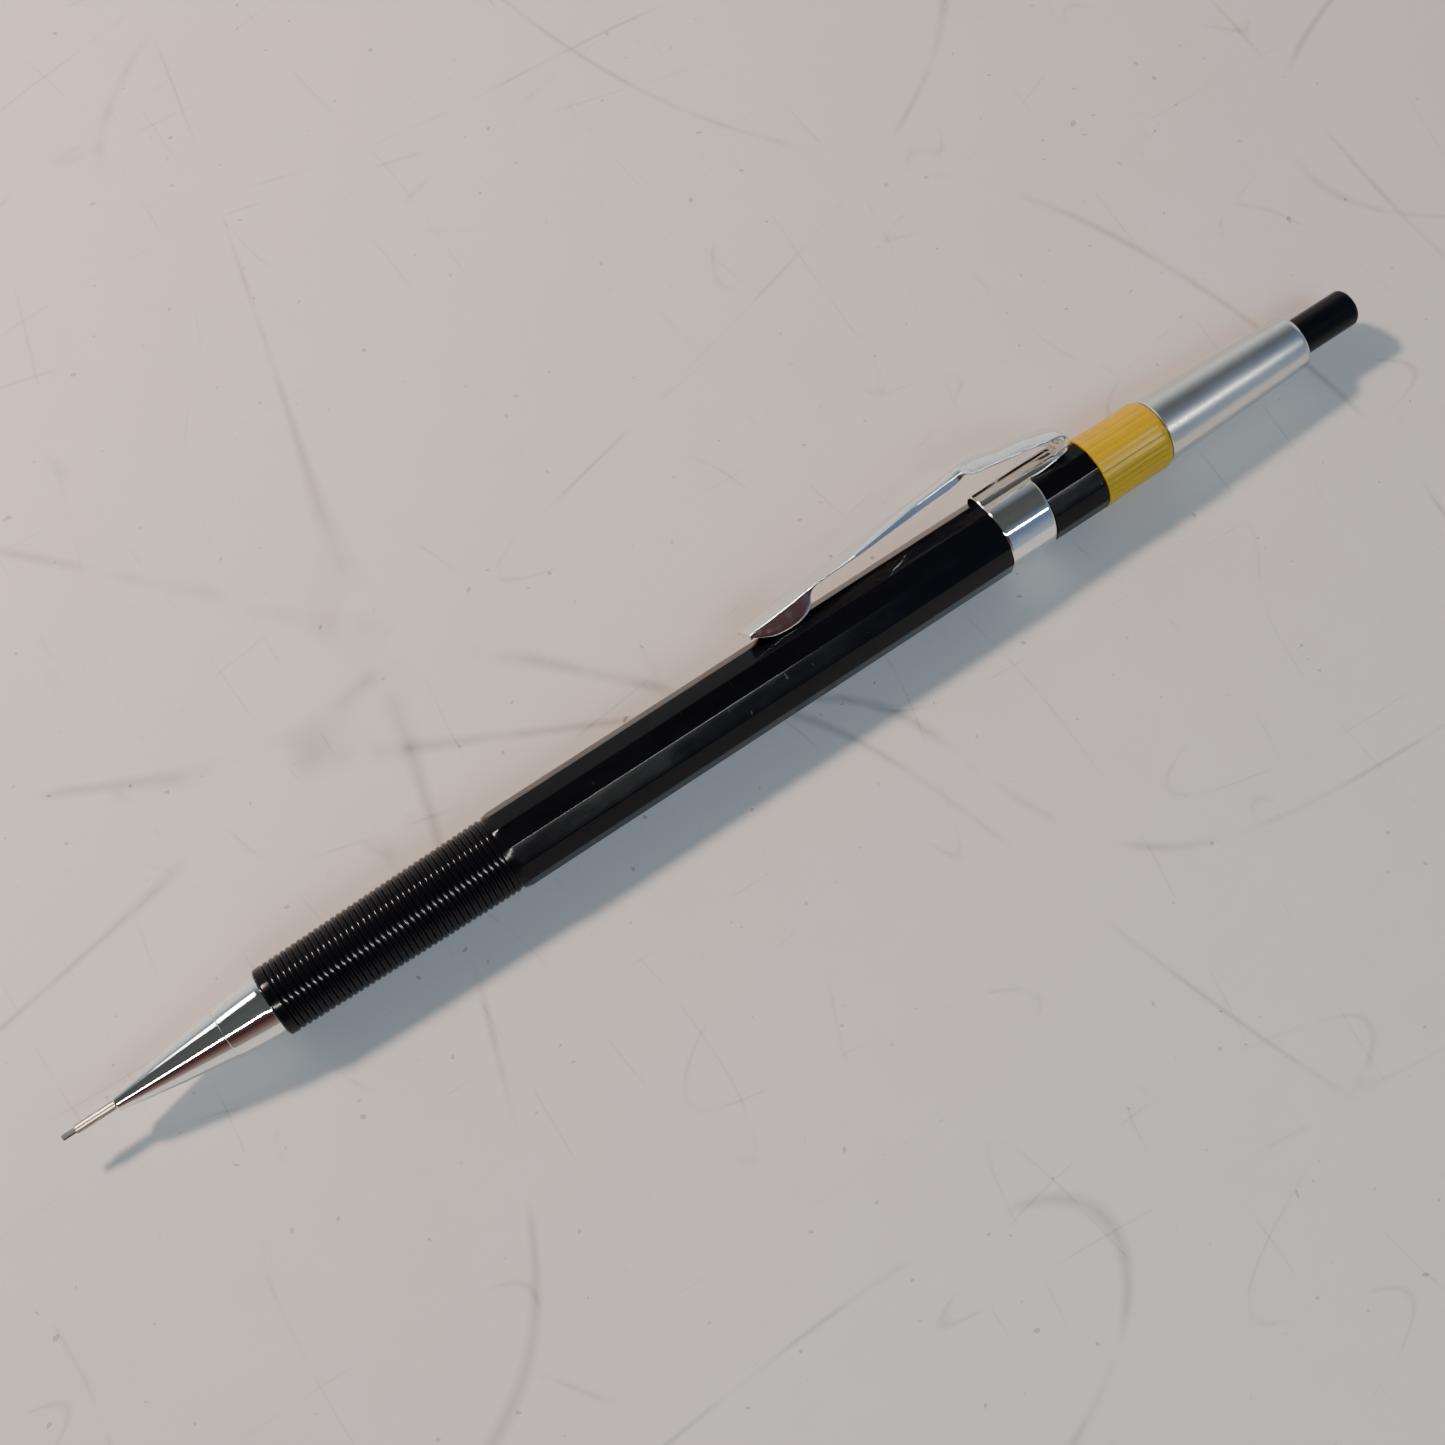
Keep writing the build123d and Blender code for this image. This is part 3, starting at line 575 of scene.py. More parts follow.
def barrel_outline(shape):
    """Outside from front to rear, then the bores back to the front."""
    front = BARREL_FRONT
    rim = 0.25 * MM
    land_end = front + 0.93 * MM
    first_groove = front + 1.02 * MM
    corner = faceted(FLAT_RADIUS, shape.corner_round)
    neck = faceted(NECK_FLAT, shape.corner_round)
    band_end = BAND_FRONT + 5.46 * MM
    band_seat = 3.52 * MM
    shank_end = BAND_FRONT - 0.02 * MM
    edge = 0.1 * MM
    shank_front = front + GRIP_LENGTH
    foot = grip_radius(1) - shape.rib_depth

    def eased(base, amount):
        return lambda angle: base(angle) - amount

    def opening(limit):
        return lambda angle: min(corner(angle), limit)

    stations = [(front, NOSE_SPIGOT_HOLE)]
    stations += rounded_edge(front, grip_radius(0) - rim, front + rim, grip_radius(0))
    stations += [(land_end, grip_radius(0.037)), (first_groove, grip_radius(0.04) - 0.07 * MM)]
    stations += rib_stations(shape)
    stations += [(shank_front - 0.3 * MM, foot), (shank_front - 0.03 * MM, foot)]
    stations += [(shank_front, grip_radius(1) - 0.06 * MM)]
    # the facets run out into a cone behind the grip
    cone_length = 0.9 * MM
    cone_rise = 0.17 * MM
    cone_steps = 5
    for step in range(cone_steps + 1):
        share = step / cone_steps
        limit = opening(grip_radius(1) + share * cone_rise)
        stations.append((shank_front + share * cone_length, limit))
    stations += [(shank_front + cone_length + 0.3 * MM, corner), (shank_end - edge, corner)]
    stations += [(shank_end - edge * 0.3, eased(corner, edge * 0.3)), (shank_end, eased(corner, edge))]
    stations += [(shank_end, band_seat), (band_end, band_seat)]
    stations += [(band_end, eased(neck, edge)), (band_end + edge, neck)]
    stations += [(BARREL_END - edge, neck), (BARREL_END, eased(neck, edge))]
    spigot_start = low("tail_tube") - 0.02 * MM
    mechanism_end = high("mechanism_sleeve") + 0.02 * MM
    flange_end = front + 5.52 * MM
    stations += [(BARREL_END, TAIL_SPIGOT_HOLE), (spigot_start, TAIL_SPIGOT_HOLE)]
    stations += [(spigot_start, BARREL_BORE), (mechanism_end, BARREL_BORE)]
    stations += [(mechanism_end, MECHANISM_HOLE), (flange_end, MECHANISM_HOLE)]
    stations += [(flange_end, NOSE_SPIGOT_HOLE)]
    return stations


class PENCIL_OT_barrel(bpy.types.Operator):
    """Ribbed grip, twelve-sided shank, band seat and neck in one moulding."""

    bl_idname = "pencil.barrel"
    bl_label = "Barrel"

    def execute(self, context):
        shape = context.scene.pencil_shape
        look = context.scene.pencil_finish
        angles = facet_angles(FLAT_RADIUS, shape.corner_round)
        material = glossy_black("black_barrel", look.barrel, look.gloss)
        piece = ringed_piece("barrel_moulding", barrel_outline(shape), angles, material)
        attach(piece, "root")
        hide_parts("barrel")
        return {"FINISHED"}


def nose_outline():
    """Taper, fine step, threaded end and the bores."""
    tip = NOSE_TIP
    step = BARREL_FRONT - 4.8 * MM
    step_end = step + 0.13 * MM
    base = BARREL_FRONT - 0.02 * MM
    end = high("nose_cone")
    rim = 0.22 * MM
    bulge = 0.06 * MM
    tip_radius = 0.775 * MM
    step_radius = 2.55 * MM
    lip = step_radius + 0.01 * MM
    rear_radius = 2.675 * MM
    base_radius = 3.15 * MM
    stations = [(tip, SLEEVE_HOLE)]
    stations += rounded_edge(tip, tip_radius - rim, tip + rim, tip_radius)
    stations += bowed_line(tip + rim, tip_radius, step - 0.05 * MM, step_radius, bulge, 24)
    stations += [(step - 0.015 * MM, step_radius - 0.02 * MM), (step, lip)]
    stations += rounded_edge(step, lip, step_end, rear_radius, 4)
    stations += bowed_line(step_end, rear_radius, base - 0.06 * MM, base_radius, bulge / 2, 8)
    stations += [(base - 0.02 * MM, base_radius - 0.02 * MM), (base, base_radius - 0.07 * MM)]
    stations.append((base, THREAD_RADIUS))
    stations += thread_stations(base + 0.5 * MM, end - 0.5 * MM)
    clutch_stop = BARREL_FRONT - 0.86 * MM
    jaw_room_start = BARREL_FRONT - 5.5 * MM
    funnel_start = jaw_room_start - MM
    retainer_start = tip + 3.79 * MM
    stations += [(end, 2.5 * MM), (end, CLUTCH_ROOM), (clutch_stop, CLUTCH_ROOM), (clutch_stop, JAW_ROOM)]
    stations += [(jaw_room_start, JAW_ROOM), (funnel_start, RETAINER_ROOM)]
    stations += [(retainer_start, RETAINER_ROOM), (retainer_start, SLEEVE_HOLE)]
    return stations


def thread_stations(start, end):
    """Fine grooves that stand for the screw thread of the nose's spigot."""
    pitch = 0.5 * MM
    depth = 0.14 * MM
    profile = ((0.0, 0.0), (0.25, 0.0), (0.5, 1.0), (0.6, 1.0), (0.85, 0.0))
    stations = []
    for turn in range(int((end - start) / pitch)):
        for share, drop in profile:
            stations.append((start + (turn + share) * pitch, THREAD_RADIUS - depth * drop))
    return stations


class PENCIL_OT_nose(bpy.types.Operator):
    """Chromed nose cone with the steel lead sleeve and the lead in it."""

    bl_idname = "pencil.nose"
    bl_label = "Nose, sleeve and lead"

    def execute(self, context):
        look = context.scene.pencil_finish
        chrome = chrome_plate("chromed_nose", look.chrome)
        nose = ringed_piece("nose_cone_plated", nose_outline(), even_angles(96), chrome)
        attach(nose, "nose")
        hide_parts("nose_cone")
        self.add_sleeve()
        self.add_lead()
        return {"FINISHED"}

    def add_sleeve(self):
        outside = 0.44 * MM
        seat = 0.5 * MM
        bore = 0.31 * MM
        rim = 0.05 * MM
        stations = rounded_edge(SLEEVE_TIP, outside - rim, SLEEVE_TIP + rim, outside, 4)
        stations += [(NOSE_TIP + 0.01 * MM, outside), (NOSE_TIP + 0.01 * MM, seat)]
        stations += [(high("guide_sleeve"), seat), (high("guide_sleeve"), bore), (SLEEVE_TIP, bore)]
        steel = dull_steel("sleeve_steel", (0.36, 0.32, 0.28), 0.26)
        sleeve = ringed_piece("guide_sleeve_pipe", stations, even_angles(48), steel)
        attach(sleeve, "nose")
        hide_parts("guide_sleeve")

    def add_lead(self):
        """The lead's end is rounded a little, evenly all round, as by writing."""
        radius = radius_of("writing_lead")
        worn = 0.06 * MM
        end = high("writing_lead")
        stations = [(LEAD_TIP, 0.0)]
        stations += rounded_edge(LEAD_TIP, radius - worn, LEAD_TIP + worn, radius, 4)
        stations += [(end, radius), (end, 0.0)]
        material = graphite("pencil_lead")
        lead = ringed_piece("writing_lead_stick", stations, even_angles(32), material, closed=False)
        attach(lead, "lead")
        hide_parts("writing_lead")


# -------- ring, tail and button


class PENCIL_OT_rear(bpy.types.Operator):
    """Fluted colour ring, satin tail tube and glossy push button."""

    bl_idname = "pencil.rear"
    bl_label = "Ring, tail and button"

    def execute(self, context):
        shape = context.scene.pencil_shape
        look = context.scene.pencil_finish
        self.add_ring(shape, look)
        self.add_tail(look)
        self.add_button(look)
        return {"FINISHED"}

    def add_ring(self, shape, look):
        start = low("size_ring")
        end = high("size_ring")
        front, waist, rear = 3.8 * MM, 3.68 * MM, 3.71 * MM
        round_length = 0.85 * MM
        round_depth = 0.55 * MM
        depth = 0.055 * MM
        width = 0.3

        def fluted(radius, share=1.0):
            def by_angle(angle):
                phase = angle * shape.ring_flutes / (2 * pi) % 1
                nearness = max(0.0, 1 - min(phase, 1 - phase) / width)
                return radius - depth * share * nearness**2 * (3 - 2 * nearness)

            return by_angle

        stations = [(start, TAIL_SPIGOT_HOLE), (start, fluted(front - 0.08 * MM))]
        stations.append((start + 0.08 * MM, fluted(front)))
        bow = waist - (front + rear) / 2
        for x, radius in bowed_line(start, front, end - round_length, rear, bow, 8):
            stations.append((x, fluted(radius)))
        # the flutes fade out round the end
        steps = 7
        rounding = rounded_end(end, round_length, rear, round_depth, steps)
        for number, (x, radius) in enumerate(rounding, 1):
            stations.append((x, fluted(radius, 1 - number / (steps + 1))))
        stations.append((end, TAIL_SPIGOT_HOLE))
        angles = even_angles(shape.ring_flutes * 16)
        material = moulded_ring("yellow_ring", look.ring)
        ring = ringed_piece("size_ring_fluted", stations, angles, material)
        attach(ring, "root")
        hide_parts("size_ring")

    def add_tail(self, look):
        start = high("size_ring") + 0.02 * MM
        front, rear = 3.5 * MM, 2.92 * MM
        rim = 0.7 * MM
        lip = 0.56 * MM
        ease = 0.1 * MM
        guide = 2.05 * MM
        guide_start = TAIL_END - 9.5 * MM
        bore = 2.3 * MM
        spigot = 2.8 * MM
        stations = [(start, spigot), (start, front - ease), (start + ease, front)]
        stations += bowed_line(start + ease, front, TAIL_END - rim, rear, 0, 6)
        stations += rounded_end(TAIL_END, rim, rear, lip)
        stations += [(TAIL_END, guide + 0.08 * MM), (TAIL_END - ease, guide), (guide_start, guide)]
        stations += [(guide_start, bore), (low("tail_tube"), bore), (low("tail_tube"), spigot)]
        material = satin_aluminium("satin_tail", look.tail)
        tail = ringed_piece("tail_tube_turned", stations, even_angles(96), material)
        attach(tail, "root")
        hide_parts("tail_tube")

    def add_button(self, look):
        start = low("push_button")
        radius = radius_of("push_button")
        round_end = 0.6 * MM
        tube_seat = 1.62 * MM
        eraser_room = 1.3 * MM
        tube_end = high("lead_tube") + 0.02 * MM
        eraser_end = high("eraser") + 0.3 * MM
        stations = [(start, tube_seat), (start, radius - 0.1 * MM), (start + 0.1 * MM, radius)]
        stations.append((BUTTON_END - round_end, radius))
        stations += rounded_end(BUTTON_END, round_end, radius, round_end * 0.95)
        stations += [(BUTTON_END, 0.0), (eraser_end, 0.0), (eraser_end, eraser_room)]
        stations += [(tube_end, eraser_room), (tube_end, tube_seat)]
        material = glossy_black("black_button", look.barrel, look.gloss)
        button = ringed_piece("push_button_cap", stations, even_angles(72), material)
        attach(button, "button")
        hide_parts("push_button")


# -------- pocket clip


def smooth_rows(rows, between):
    """Adds rows along a smooth curve through the given ones."""
    dense = []
    for index in range(len(rows) - 1):
        before = rows[max(index - 1, 0)]
        here = rows[index]
        ahead = rows[index + 1]
        beyond = rows[min(index + 2, len(rows) - 1)]
        for step in range(between):
            t = step / between
            row = []
            for p0, p1, p2, p3 in zip(before, here, ahead, beyond):
                bend = (2 * p0 - 5 * p1 + 4 * p2 - p3) * t * t + (3 * p1 - p0 - 3 * p2 + p3) * t**3
                row.append(p1 + 0.5 * ((p2 - p0) * t + bend))
            dense.append(row)
    dense.append(list(rows[-1]))
    return dense


# Points across the clip: a flange down each side of an arched top
FLANGE_STEPS = 3
TOP_COLUMNS = 9
CLIP_RIDGES = (FLANGE_STEPS, FLANGE_STEPS + TOP_COLUMNS - 1)
CLIP_MIDDLE = FLANGE_STEPS + TOP_COLUMNS // 2
CLIP_ARCH = 1.8

# Points across the band's raised bridge and the strap, and round the rest of the band
BRIDGE_COLUMNS = 15
BRIDGE_EDGES = (0, BRIDGE_COLUMNS - 1)
BRIDGE_MIDDLE = BRIDGE_COLUMNS // 2
BRIDGE_ARCH = 2.2
BAND_STEPS = 44

# Times the sheet's surface is divided
SMOOTH_LEVELS = 3


def spread(columns):
    """Places from -1 to 1 that stand closer together towards both ends."""
    return [sin(pi / 2 * (2 * column / (columns - 1) - 1)) for column in range(columns)]


def channel_section(x, crown, shoulder, half, foot):
    """An arched top with a flange down each side, in millimetres."""
    points = []
    for step in range(FLANGE_STEPS):
        share = step / FLANGE_STEPS
        points.append((x, foot + (shoulder - foot) * share, -half))
    for u in spread(TOP_COLUMNS):
        points.append((x, crown - (crown - shoulder) * abs(u) ** CLIP_ARCH, half * u))
    for step in range(FLANGE_STEPS):
        share = (step + 1) / FLANGE_STEPS
        points.append((x, shoulder + (foot - shoulder) * share, half))
    return points


def arched_section(x, crown, foot, half):
    """An arched top alone, in millimetres."""
    return [(x, crown - (crown - foot) * abs(u) ** BRIDGE_ARCH, half * u) for u in spread(BRIDGE_COLUMNS)]


def new_row(shape, section):
    """Points in millimetres, along the pencil from the barrel's front face."""
    row = []
    for x, out, across in section:
        row.append(shape.verts.new(place(BARREL_FRONT + x * MM, out * MM, across * MM)))
    return row


def crease_lines(shape, rows, columns, strength):
    """Keeps the ridges along the given columns crisp when the surface is smoothed."""
    layer = shape.edges.layers.float.new("crease_edge")
    for first, second in zip(rows, rows[1:]):
        for column in columns:
            edge = shape.edges.get((first[column], second[column]))
            if edge:
                edge[layer] = strength


def thickened(name, shape, material, thickness, top):
    """Makes a sheet solid below its outer faces, rounds its edges and smooths it.

    top is a face that must look away from the pencil.
    """
    bmesh.ops.recalc_face_normals(shape, faces=shape.faces)
    shape.normal_update()
    if top.normal.dot(TOWARDS_CLIP) < 0:
        bmesh.ops.reverse_faces(shape, faces=shape.faces)
    piece = new_piece(name, shape, material)
    solid = piece.modifiers.new("thickness", "SOLIDIFY")
    solid.thickness = thickness
    solid.offset = -1
    solid.use_even_offset = True
    smooth = piece.modifiers.new("smooth", "SUBSURF")
    smooth.levels = SMOOTH_LEVELS
    smooth.render_levels = SMOOTH_LEVELS
    return applied(piece)


def applied(piece):
    """Bakes a piece's modifiers into its mesh."""
    bpy.context.view_layer.update()
    graph = bpy.context.evaluated_depsgraph_get()
    mesh = bpy.data.meshes.new_from_object(piece.evaluated_get(graph))
    piece.modifiers.clear()
    piece.data = mesh
    mesh.shade_smooth()
    return piece


# Along the clip from the fold forward: place behind the barrel's front face, crown, shoulder,
# half width and foot of the flange, all in millimetres from the pencil's axis.
HOOD_AND_ARM = (
    (90.9, 6.50, 5.40, 2.50, 5.22),
    (89.5, 6.82, 5.66, 2.50, 5.48),
    (87.4, 7.18, 5.97, 2.42, 5.79),
    (85.4, 7.40, 6.25, 2.35, 6.07),
    (84.2, 7.70, 6.46, 2.34, 6.26),
    (83.3, 7.86, 6.62, 2.36, 6.42),
    (82.2, 7.93, 6.76, 2.35, 6.58),
    (81.65, 7.93, 6.84, 2.26, 6.70),
    (81.25, 7.86, 7.05, 1.40, 6.88),
    (80.9, 7.80, 7.20, 1.02, 6.60),
    (80.0, 7.67, 7.15, 1.00, 6.38),
    (78.0, 7.52, 7.02, 1.00, 6.30),
    (75.7, 7.35, 6.86, 1.03, 6.18),
    (73.0, 7.17, 6.62, 1.30, 6.08),
    (70.6, 7.00, 6.42, 1.60, 6.00),
    (68.4, 6.82, 6.25, 1.86, 5.93),
    (66.3, 6.64, 6.10, 2.02, 5.90),
    (64.2, 6.50, 6.02, 2.06, 5.86),
    (62.6, 6.37, 5.93, 2.04, 5.72),
    (61.9, 6.32, 5.88, 2.03, 5.10),
    (61.5, 6.29, 5.85, 2.03, 4.25),
    (60.6, 6.21, 5.77, 2.03, 3.72),
    (59.5, 6.11, 5.67, 2.02, 3.54),
    (58.5, 6.01, 5.57, 2.02, 3.52),
    (57.4, 5.90, 5.46, 2.02, 3.64),
    (56.5, 5.81, 5.38, 2.01, 3.92),
    (55.7, 5.72, 5.30, 1.98, 4.34),
    (55.1, 5.58, 5.20, 1.92, 4.72),
)

# The clip's tip turns down and in between its ears
CLIP_LIP = (
    (54.92, 5.42, 5.08, 1.90, 4.76),
    (54.86, 5.10, 4.92, 1.86, 4.74),
    (54.84, 4.72, 4.66, 1.80, 4.60),
)

# The strap behind the band: place, foot and half width; its crown stays level
STRAP = (
    (87.2, 3.20, 2.02),
    (88.2, 3.28, 2.16),
    (89.4, 3.42, 2.25),
    (90.5, 3.60, 2.30),
)
BRIDGE_CROWN = 4.62

# Where the fold starts, and its shoulder, half width and foot there
FOLD_FRONT = 90.4
FOLD_START = (3.58, 2.14, 3.60)


def fold_sections(thickness):
    """The strap's U-turn, from its underside round to the hood; it overlaps the strap's end."""
    hood_place, *hood = HOOD_AND_ARM[0]
    under = BRIDGE_CROWN - (thickness / MM + 0.01)
    fold = (under, *FOLD_START)
    turn = (hood[0] - under) / 2
    sections = [channel_section(FOLD_FRONT, *fold)]
    steps = 8
    for step in range(steps):
        angle = pi * step / steps
        rise = (1 - cos(angle)) / 2
        row = [below + (above - below) * rise for below, above in zip(fold, hood)]
        sections.append(channel_section(hood_place + turn * sin(angle), *row))
    return sections


def band_and_strap(shape):
    """The band's rings, raised into a channel under the clip that runs on as the strap.

    Gives a face on the bridge's crown.
    """
    outside = 3.835
    foot = 3.36
    half = 1.86
    front = 81.02
    rear = 86.48
    rear_sweep = 0.3
    crease = atan(half / foot)
    rest = [crease + (2 * pi - 2 * crease) * number / BAND_STEPS for number in range(1, BAND_STEPS)]
    rows = []
    for share in (0.0, 0.06, 0.35, 0.65, 0.94, 1.0):
        middle = front + (rear - front) * share
        section = arched_section(middle + rear_sweep * share, BRIDGE_CROWN, foot, half)
        for angle in rest:
            sweep = rear_sweep * cos(angle) * share
            section.append((middle + sweep, outside * cos(angle), outside * sin(angle)))
        rows.append(new_row(shape, section))
    for first, second in zip(rows, rows[1:]):
        join_rows(shape, first, second, ring=True)
    strap = [rows[-1][:BRIDGE_COLUMNS]]
    for x, strap_foot, strap_half in STRAP:
        strap.append(new_row(shape, arched_section(x, BRIDGE_CROWN, strap_foot, strap_half)))
    for first, second in zip(strap, strap[1:]):
        join_rows(shape, first, second)
    crease_lines(shape, rows, BRIDGE_EDGES, 0.8)
    return rows[2][BRIDGE_MIDDLE].link_faces[0]


class PENCIL_OT_clip(bpy.types.Operator):
    """Chromed clip of one folded sheet: band, strap, fold, hood, arm and ears."""

    bl_idname = "pencil.clip"
    bl_label = "Pocket clip"

    def execute(self, context):
        shape = context.scene.pencil_shape
        look = context.scene.pencil_finish
        chrome = chrome_plate("chromed_clip", look.chrome)
        band = self.add_band(shape, chrome)
        arm = self.add_arm(shape, chrome)
        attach(band, "root")
        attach(arm, "clip_arm")
        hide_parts("clip_band")
        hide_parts("clip_arm")
        return {"FINISHED"}

    def add_band(self, settings, chrome):
        shape = bmesh.new()
        top = band_and_strap(shape)
        return thickened("clip_band_sheet", shape, chrome, settings.sheet, top)

    def add_arm(self, settings, chrome):
        shape = bmesh.new()
        sections = fold_sections(settings.sheet)
        hood_start = len(sections)
        sections += [channel_section(*row) for row in smooth_rows(HOOD_AND_ARM, 2)]
        sections += [channel_section(*row) for row in CLIP_LIP]
        rows = [new_row(shape, section) for section in sections]
        for first, second in zip(rows, rows[1:]):
            join_rows(shape, first, second)
        crease_lines(shape, rows[hood_start:], CLIP_RIDGES, 0.75)
        hood_top = rows[hood_start + 6][CLIP_MIDDLE]
        return thickened("clip_arm_sheet", shape, chrome, settings.sheet, hood_top.link_faces[0])


# -------- works inside


def coil_piece(name, start, end, radius, wire, turns, material):
    """A compression spring: a coil of even pitch, its wire's ends capped flat."""
    shape = bmesh.new()
    steps = turns * 24
    sides = 10
    rings = []
    for step in range(steps + 1):
        share = step / steps
        angle = 2 * pi * turns * share
        across = Vector((0, cos(angle), sin(angle)))
        middle = Vector((start + (end - start) * share, 0, AXIS_HEIGHT)) + radius * across
        ring = []
        for side in range(sides):
            turn = 2 * pi * side / sides
            outward = cos(turn) * across + sin(turn) * Vector((1, 0, 0))
            ring.append(shape.verts.new(middle + wire * outward))
        rings.append(ring)
    for first, second in zip(rings, rings[1:]):
        join_rows(shape, first, second, ring=True)
    shape.faces.new(rings[0])
    shape.faces.new(list(reversed(rings[-1])))
    return finished_piece(name, shape, material, sharp=60)


class PENCIL_OT_works(bpy.types.Operator):
    """Finishes of the pieces inside, and the return spring's coil, fixed at its modelled length."""

    bl_idname = "pencil.works"
    bl_label = "Works inside"

    def execute(self, context):
        shape = context.scene.pencil_shape
        brass = turned_brass("mechanism_brass", (0.74, 0.55, 0.26))
        chuck = turned_brass("chuck_brass", (0.78, 0.60, 0.32))
        steel = dull_steel("spring_steel", (0.55, 0.55, 0.56), 0.22)
        finishes = {
            "mechanism_sleeve": brass,
            "clutch_ring": brass,
            "chuck_stem": chuck,
            "chuck_jaw_1": chuck,
            "chuck_jaw_2": chuck,
            "chuck_jaw_3": chuck,
            "lead_retainer": soft_rubber("retainer_rubber", (0.03, 0.03, 0.032)),
            "lead_tube": milky_tube("tube_plastic", (0.70, 0.71, 0.69)),
            "spare_leads": graphite("spare_lead"),
            "eraser": soft_rubber("white_eraser", (0.80, 0.79, 0.75)),
            "cleaning_pin": steel,
        }
        for node, material in finishes.items():
            paint(node, material)
        middle_radius = 1.4 * MM
        wire = 0.14 * MM
        start = low("return_spring") + wire
        end = high("return_spring") - wire
        turns = shape.spring_turns
        spring = coil_piece("return_spring_coil", start, end, middle_radius, wire, turns, steel)
        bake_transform(spring)
        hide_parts("return_spring")
        return {"FINISHED"}


def paint(node, material):
    """Gives a mechanical piece its finish."""
    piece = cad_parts[node]
    slots = piece.material_slots
    if not slots:
        raise RuntimeError(f"{node} has no material slot")
    for slot in slots:
        slot.link = "OBJECT"
        slot.material = material


# -------- studio

# Shades of the room by height, from 0 at the horizon to 1 overhead
BRIGHT_WALL = (
    (0.0, (0.80, 0.82, 0.77)),
    (0.30, (0.70, 0.71, 0.68)),
    (0.55, (0.26, 0.29, 0.32)),
    (0.80, (0.075, 0.080, 0.078)),
)
DIM_BROWN = (
    (0.0, (0.30, 0.27, 0.25)),
    (0.35, (0.16, 0.09, 0.08)),
    (0.60, (0.055, 0.020, 0.024)),
    (0.78, (0.060, 0.030, 0.032)),
    (0.90, (0.085, 0.092, 0.088)),
)
DIM_BLUE = (
    (0.0, (0.34, 0.40, 0.46)),
    (0.35, (0.22, 0.26, 0.34)),
    (0.60, (0.12, 0.16, 0.27)),
    (0.78, (0.15, 0.20, 0.35)),
    (0.90, (0.085, 0.092, 0.088)),
)

# Where the blue part of the room begins, and where its bright wall does
PATCH_EDGE = ((0.24, 0.0), (0.30, 1.0))
WALL_EDGE = ((0.0, 0.0), (0.35, 1.0))

# Places of the lights, in metres
WINDOW = (-0.162, 0.282, 0.313)
WINDOW_FRAME = (-0.166, 0.289, 0.321)
FILL = (0.06, -0.48, 0.56)
TUBE = (-0.1, -0.65, 1.0)

FLOOR_HALF = 1.5
SKY_STRENGTH = 1.15

# Where the camera aims: along the pencil, then to the right and down in its view
AIM_X = -4.1 * MM
AIM_RIGHT = 0.53 * MM
AIM_DOWN = 0.77 * MM


def sky_ramp(tree, source, shades):
    node = tree.nodes.new("ShaderNodeValToRGB")
    set_stops(node.color_ramp, shades)
    tree.links.new(source, node.inputs["Fac"])
    return node.outputs["Color"]


def sky_mix(tree, factor, first, second):
    node = tree.nodes.new("ShaderNodeMix")
    node.data_type = "RGBA"
    for source, socket in ((factor, 0), (first, 6), (second, 7)):
        tree.links.new(source, node.inputs[socket])
    return node.outputs[2]


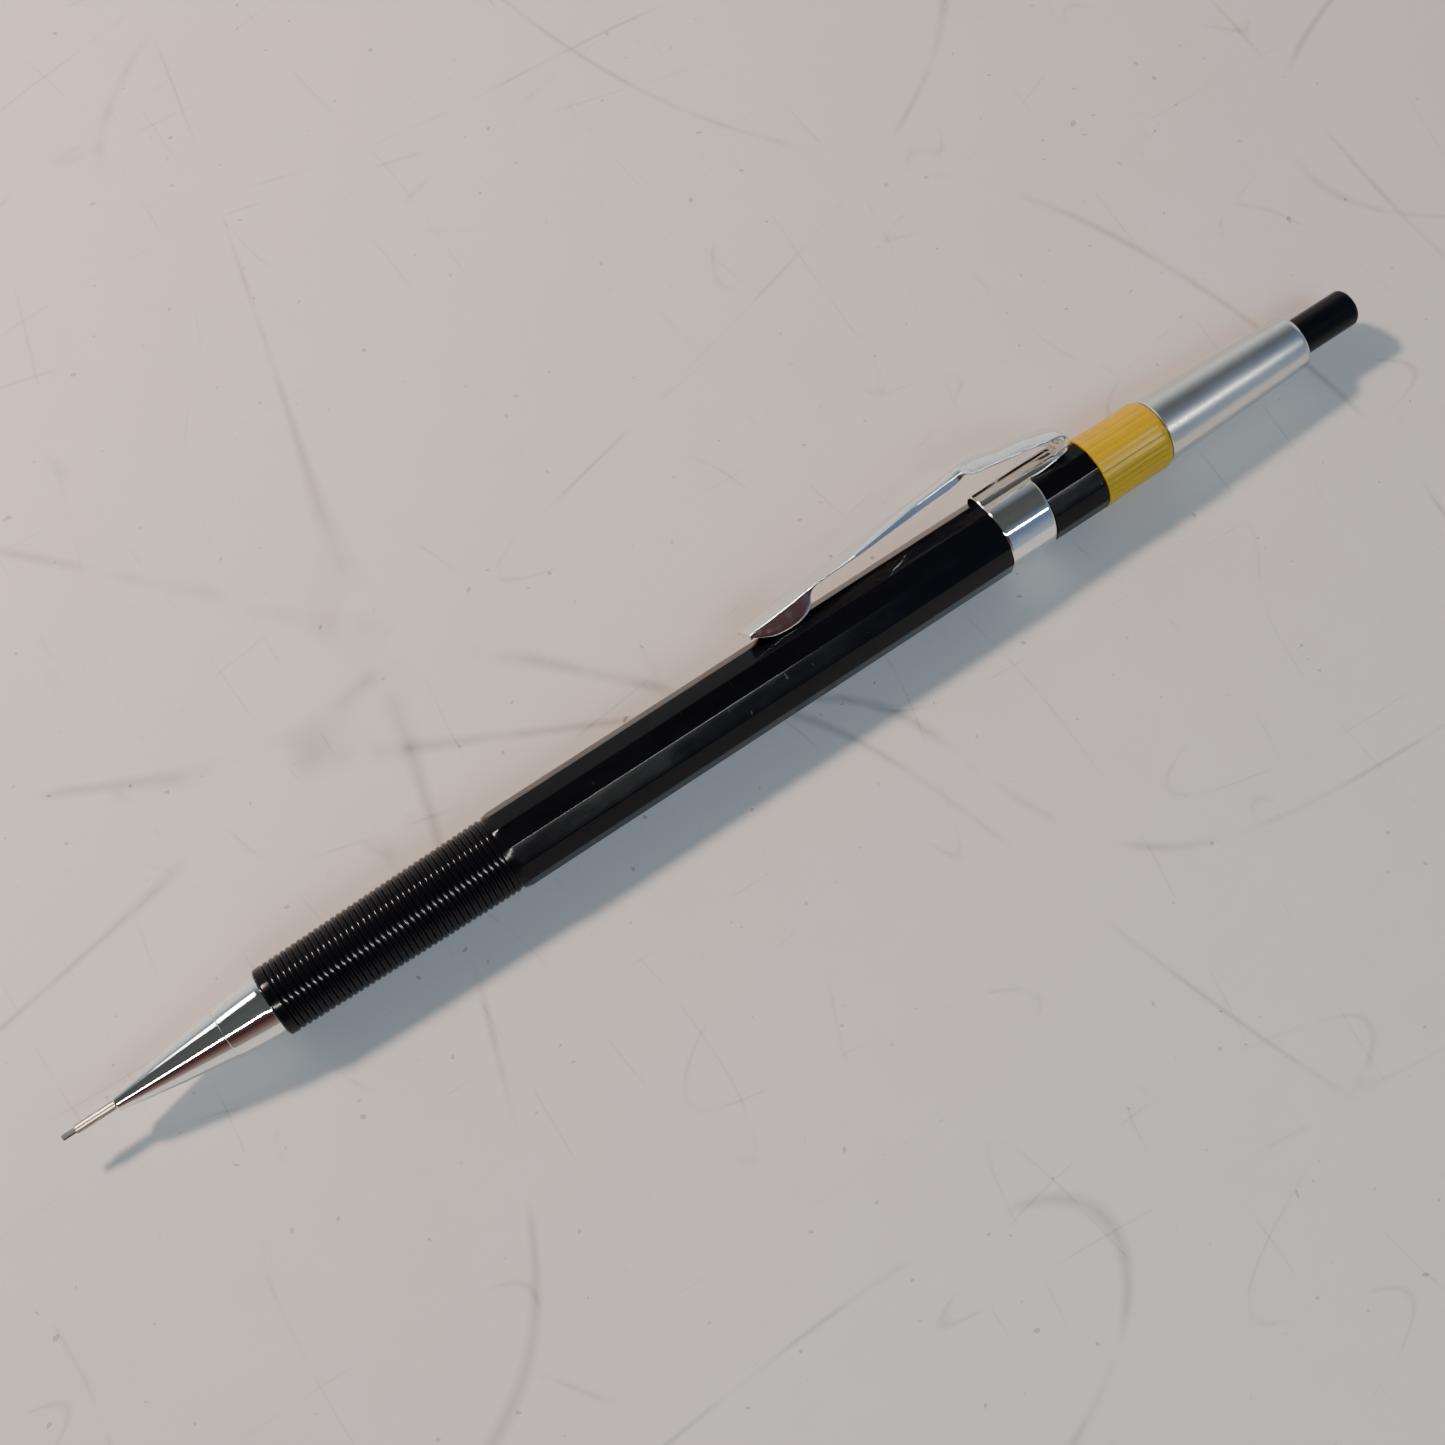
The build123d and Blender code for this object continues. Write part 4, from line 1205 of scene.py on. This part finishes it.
class PENCIL_OT_studio(bpy.types.Operator):
    """Pale floor, soft light and the camera."""

    bl_idname = "pencil.studio"
    bl_label = "Studio"

    def execute(self, context):
        look = context.scene.pencil_studio
        self.add_floor(look)
        self.add_sky(context)
        # the window alone casts the sharp shadow
        self.add_light("window", WINDOW, 0.042, 2.45, (1.0, 0.79, 0.65))
        glow = self.add_light("window_glow", WINDOW_FRAME, 0.1, 0.5, (1.0, 0.97, 0.95))
        glow.visible_diffuse = False
        fill = self.add_light("fill_panel", FILL, 0.34, 2.7, (0.60, 0.84, 1.0))
        fill.visible_glossy = False
        tube = self.add_light("ceiling_tube", TUBE, 0.07, 28.0, (0.96, 1.0, 0.93), length=1.4)
        tube.visible_diffuse = False
        self.add_camera(context, look)
        return {"FINISHED"}

    def add_floor(self, look):
        shape = bmesh.new()
        bmesh.ops.create_grid(shape, x_segments=8, y_segments=8, size=FLOOR_HALF)
        floor = finished_piece("floor", shape, painted_floor("floor_laminate", look.floor))

    def add_sky(self, context):
        """A bright wall behind the clip, a dim brown and blue room on the other side."""
        world = bpy.data.worlds.new("room")
        world.use_nodes = True
        context.scene.world = world
        tree = world.node_tree
        split = tree.nodes.new("ShaderNodeSeparateXYZ")
        tree.links.new(tree.nodes.new("ShaderNodeTexCoord").outputs["Generated"], split.inputs[0])
        height = split.outputs["Z"]
        patch = sky_ramp(tree, split.outputs["X"], PATCH_EDGE)
        side = sky_ramp(tree, split.outputs["Y"], WALL_EDGE)
        room = sky_mix(tree, patch, sky_ramp(tree, height, DIM_BROWN), sky_ramp(tree, height, DIM_BLUE))
        background = tree.nodes["Background"]
        sky = sky_mix(tree, side, room, sky_ramp(tree, height, BRIGHT_WALL))
        tree.links.new(sky, background.inputs["Color"])
        background.inputs["Strength"].default_value = SKY_STRENGTH

    def add_light(self, name, spot, size, power, colour, length=None):
        """An area light aimed at the pencil; its length runs along the pencil."""
        lamp = bpy.data.lights.new(name, "AREA")
        lamp.shape = "RECTANGLE"
        lamp.size = length or size * 1.4
        lamp.size_y = size
        lamp.energy = power
        lamp.color = colour
        light = bpy.data.objects.new(name, lamp)
        light.location = spot
        light.rotation_euler = (-Vector(spot)).to_track_quat("-Z", "Y").to_euler()
        bpy.context.scene.collection.objects.link(light)
        return light

    def add_camera(self, context, look):
        turn, lift = look.turn, look.lift
        ahead = Vector((cos(lift) * sin(turn), cos(lift) * cos(turn), -sin(lift)))
        right = Vector((cos(turn), -sin(turn), 0))
        up = right.cross(ahead)
        aim = Vector((AIM_X, 0, AXIS_HEIGHT)) + AIM_RIGHT * right - AIM_DOWN * up
        lens = bpy.data.cameras.new("camera")
        lens.lens = look.lens
        lens.sensor_width = 36
        lens.clip_start = 0.01
        camera = bpy.data.objects.new("camera", lens)
        facing = Matrix((right, up, -ahead)).transposed().to_4x4()
        camera.matrix_world = Matrix.Translation(aim - look.distance * ahead) @ facing
        context.scene.collection.objects.link(camera)
        context.scene.camera = camera


# -------- sidebar and registration


class PENCIL_PT_sidebar(bpy.types.Panel):
    bl_idname = "PENCIL_PT_sidebar"
    bl_label = "Drafting pencil"
    bl_space_type = "VIEW_3D"
    bl_region_type = "UI"
    bl_category = "Pencil"

    def draw(self, context):
        layout = self.layout
        for group in ("pencil_shape", "pencil_finish", "pencil_studio"):
            settings = getattr(context.scene, group)
            column = layout.column()
            for name in settings.__annotations__:
                column.prop(settings, name)
        for operator in OPERATORS:
            layout.operator(operator.bl_idname)


OPERATORS = (
    PENCIL_OT_barrel,
    PENCIL_OT_nose,
    PENCIL_OT_rear,
    PENCIL_OT_clip,
    PENCIL_OT_works,
    PENCIL_OT_studio,
)
GROUPS = {"pencil_shape": PencilShape, "pencil_finish": PencilFinish, "pencil_studio": StudioLook}


def register():
    for group in GROUPS.values():
        bpy.utils.register_class(group)
    for operator in OPERATORS:
        bpy.utils.register_class(operator)
    bpy.utils.register_class(PENCIL_PT_sidebar)
    for name, group in GROUPS.items():
        setattr(bpy.types.Scene, name, PointerProperty(type=group))


def unregister():
    for name in GROUPS:
        delattr(bpy.types.Scene, name)
    bpy.utils.unregister_class(PENCIL_PT_sidebar)
    for operator in reversed(OPERATORS):
        bpy.utils.unregister_class(operator)
    for group in reversed(GROUPS.values()):
        bpy.utils.unregister_class(group)


def main():
    register()
    for operator in OPERATORS:
        family, action = operator.bl_idname.split(".")
        getattr(getattr(bpy.ops, family), action)()


if __name__ == "__main__":
    main()
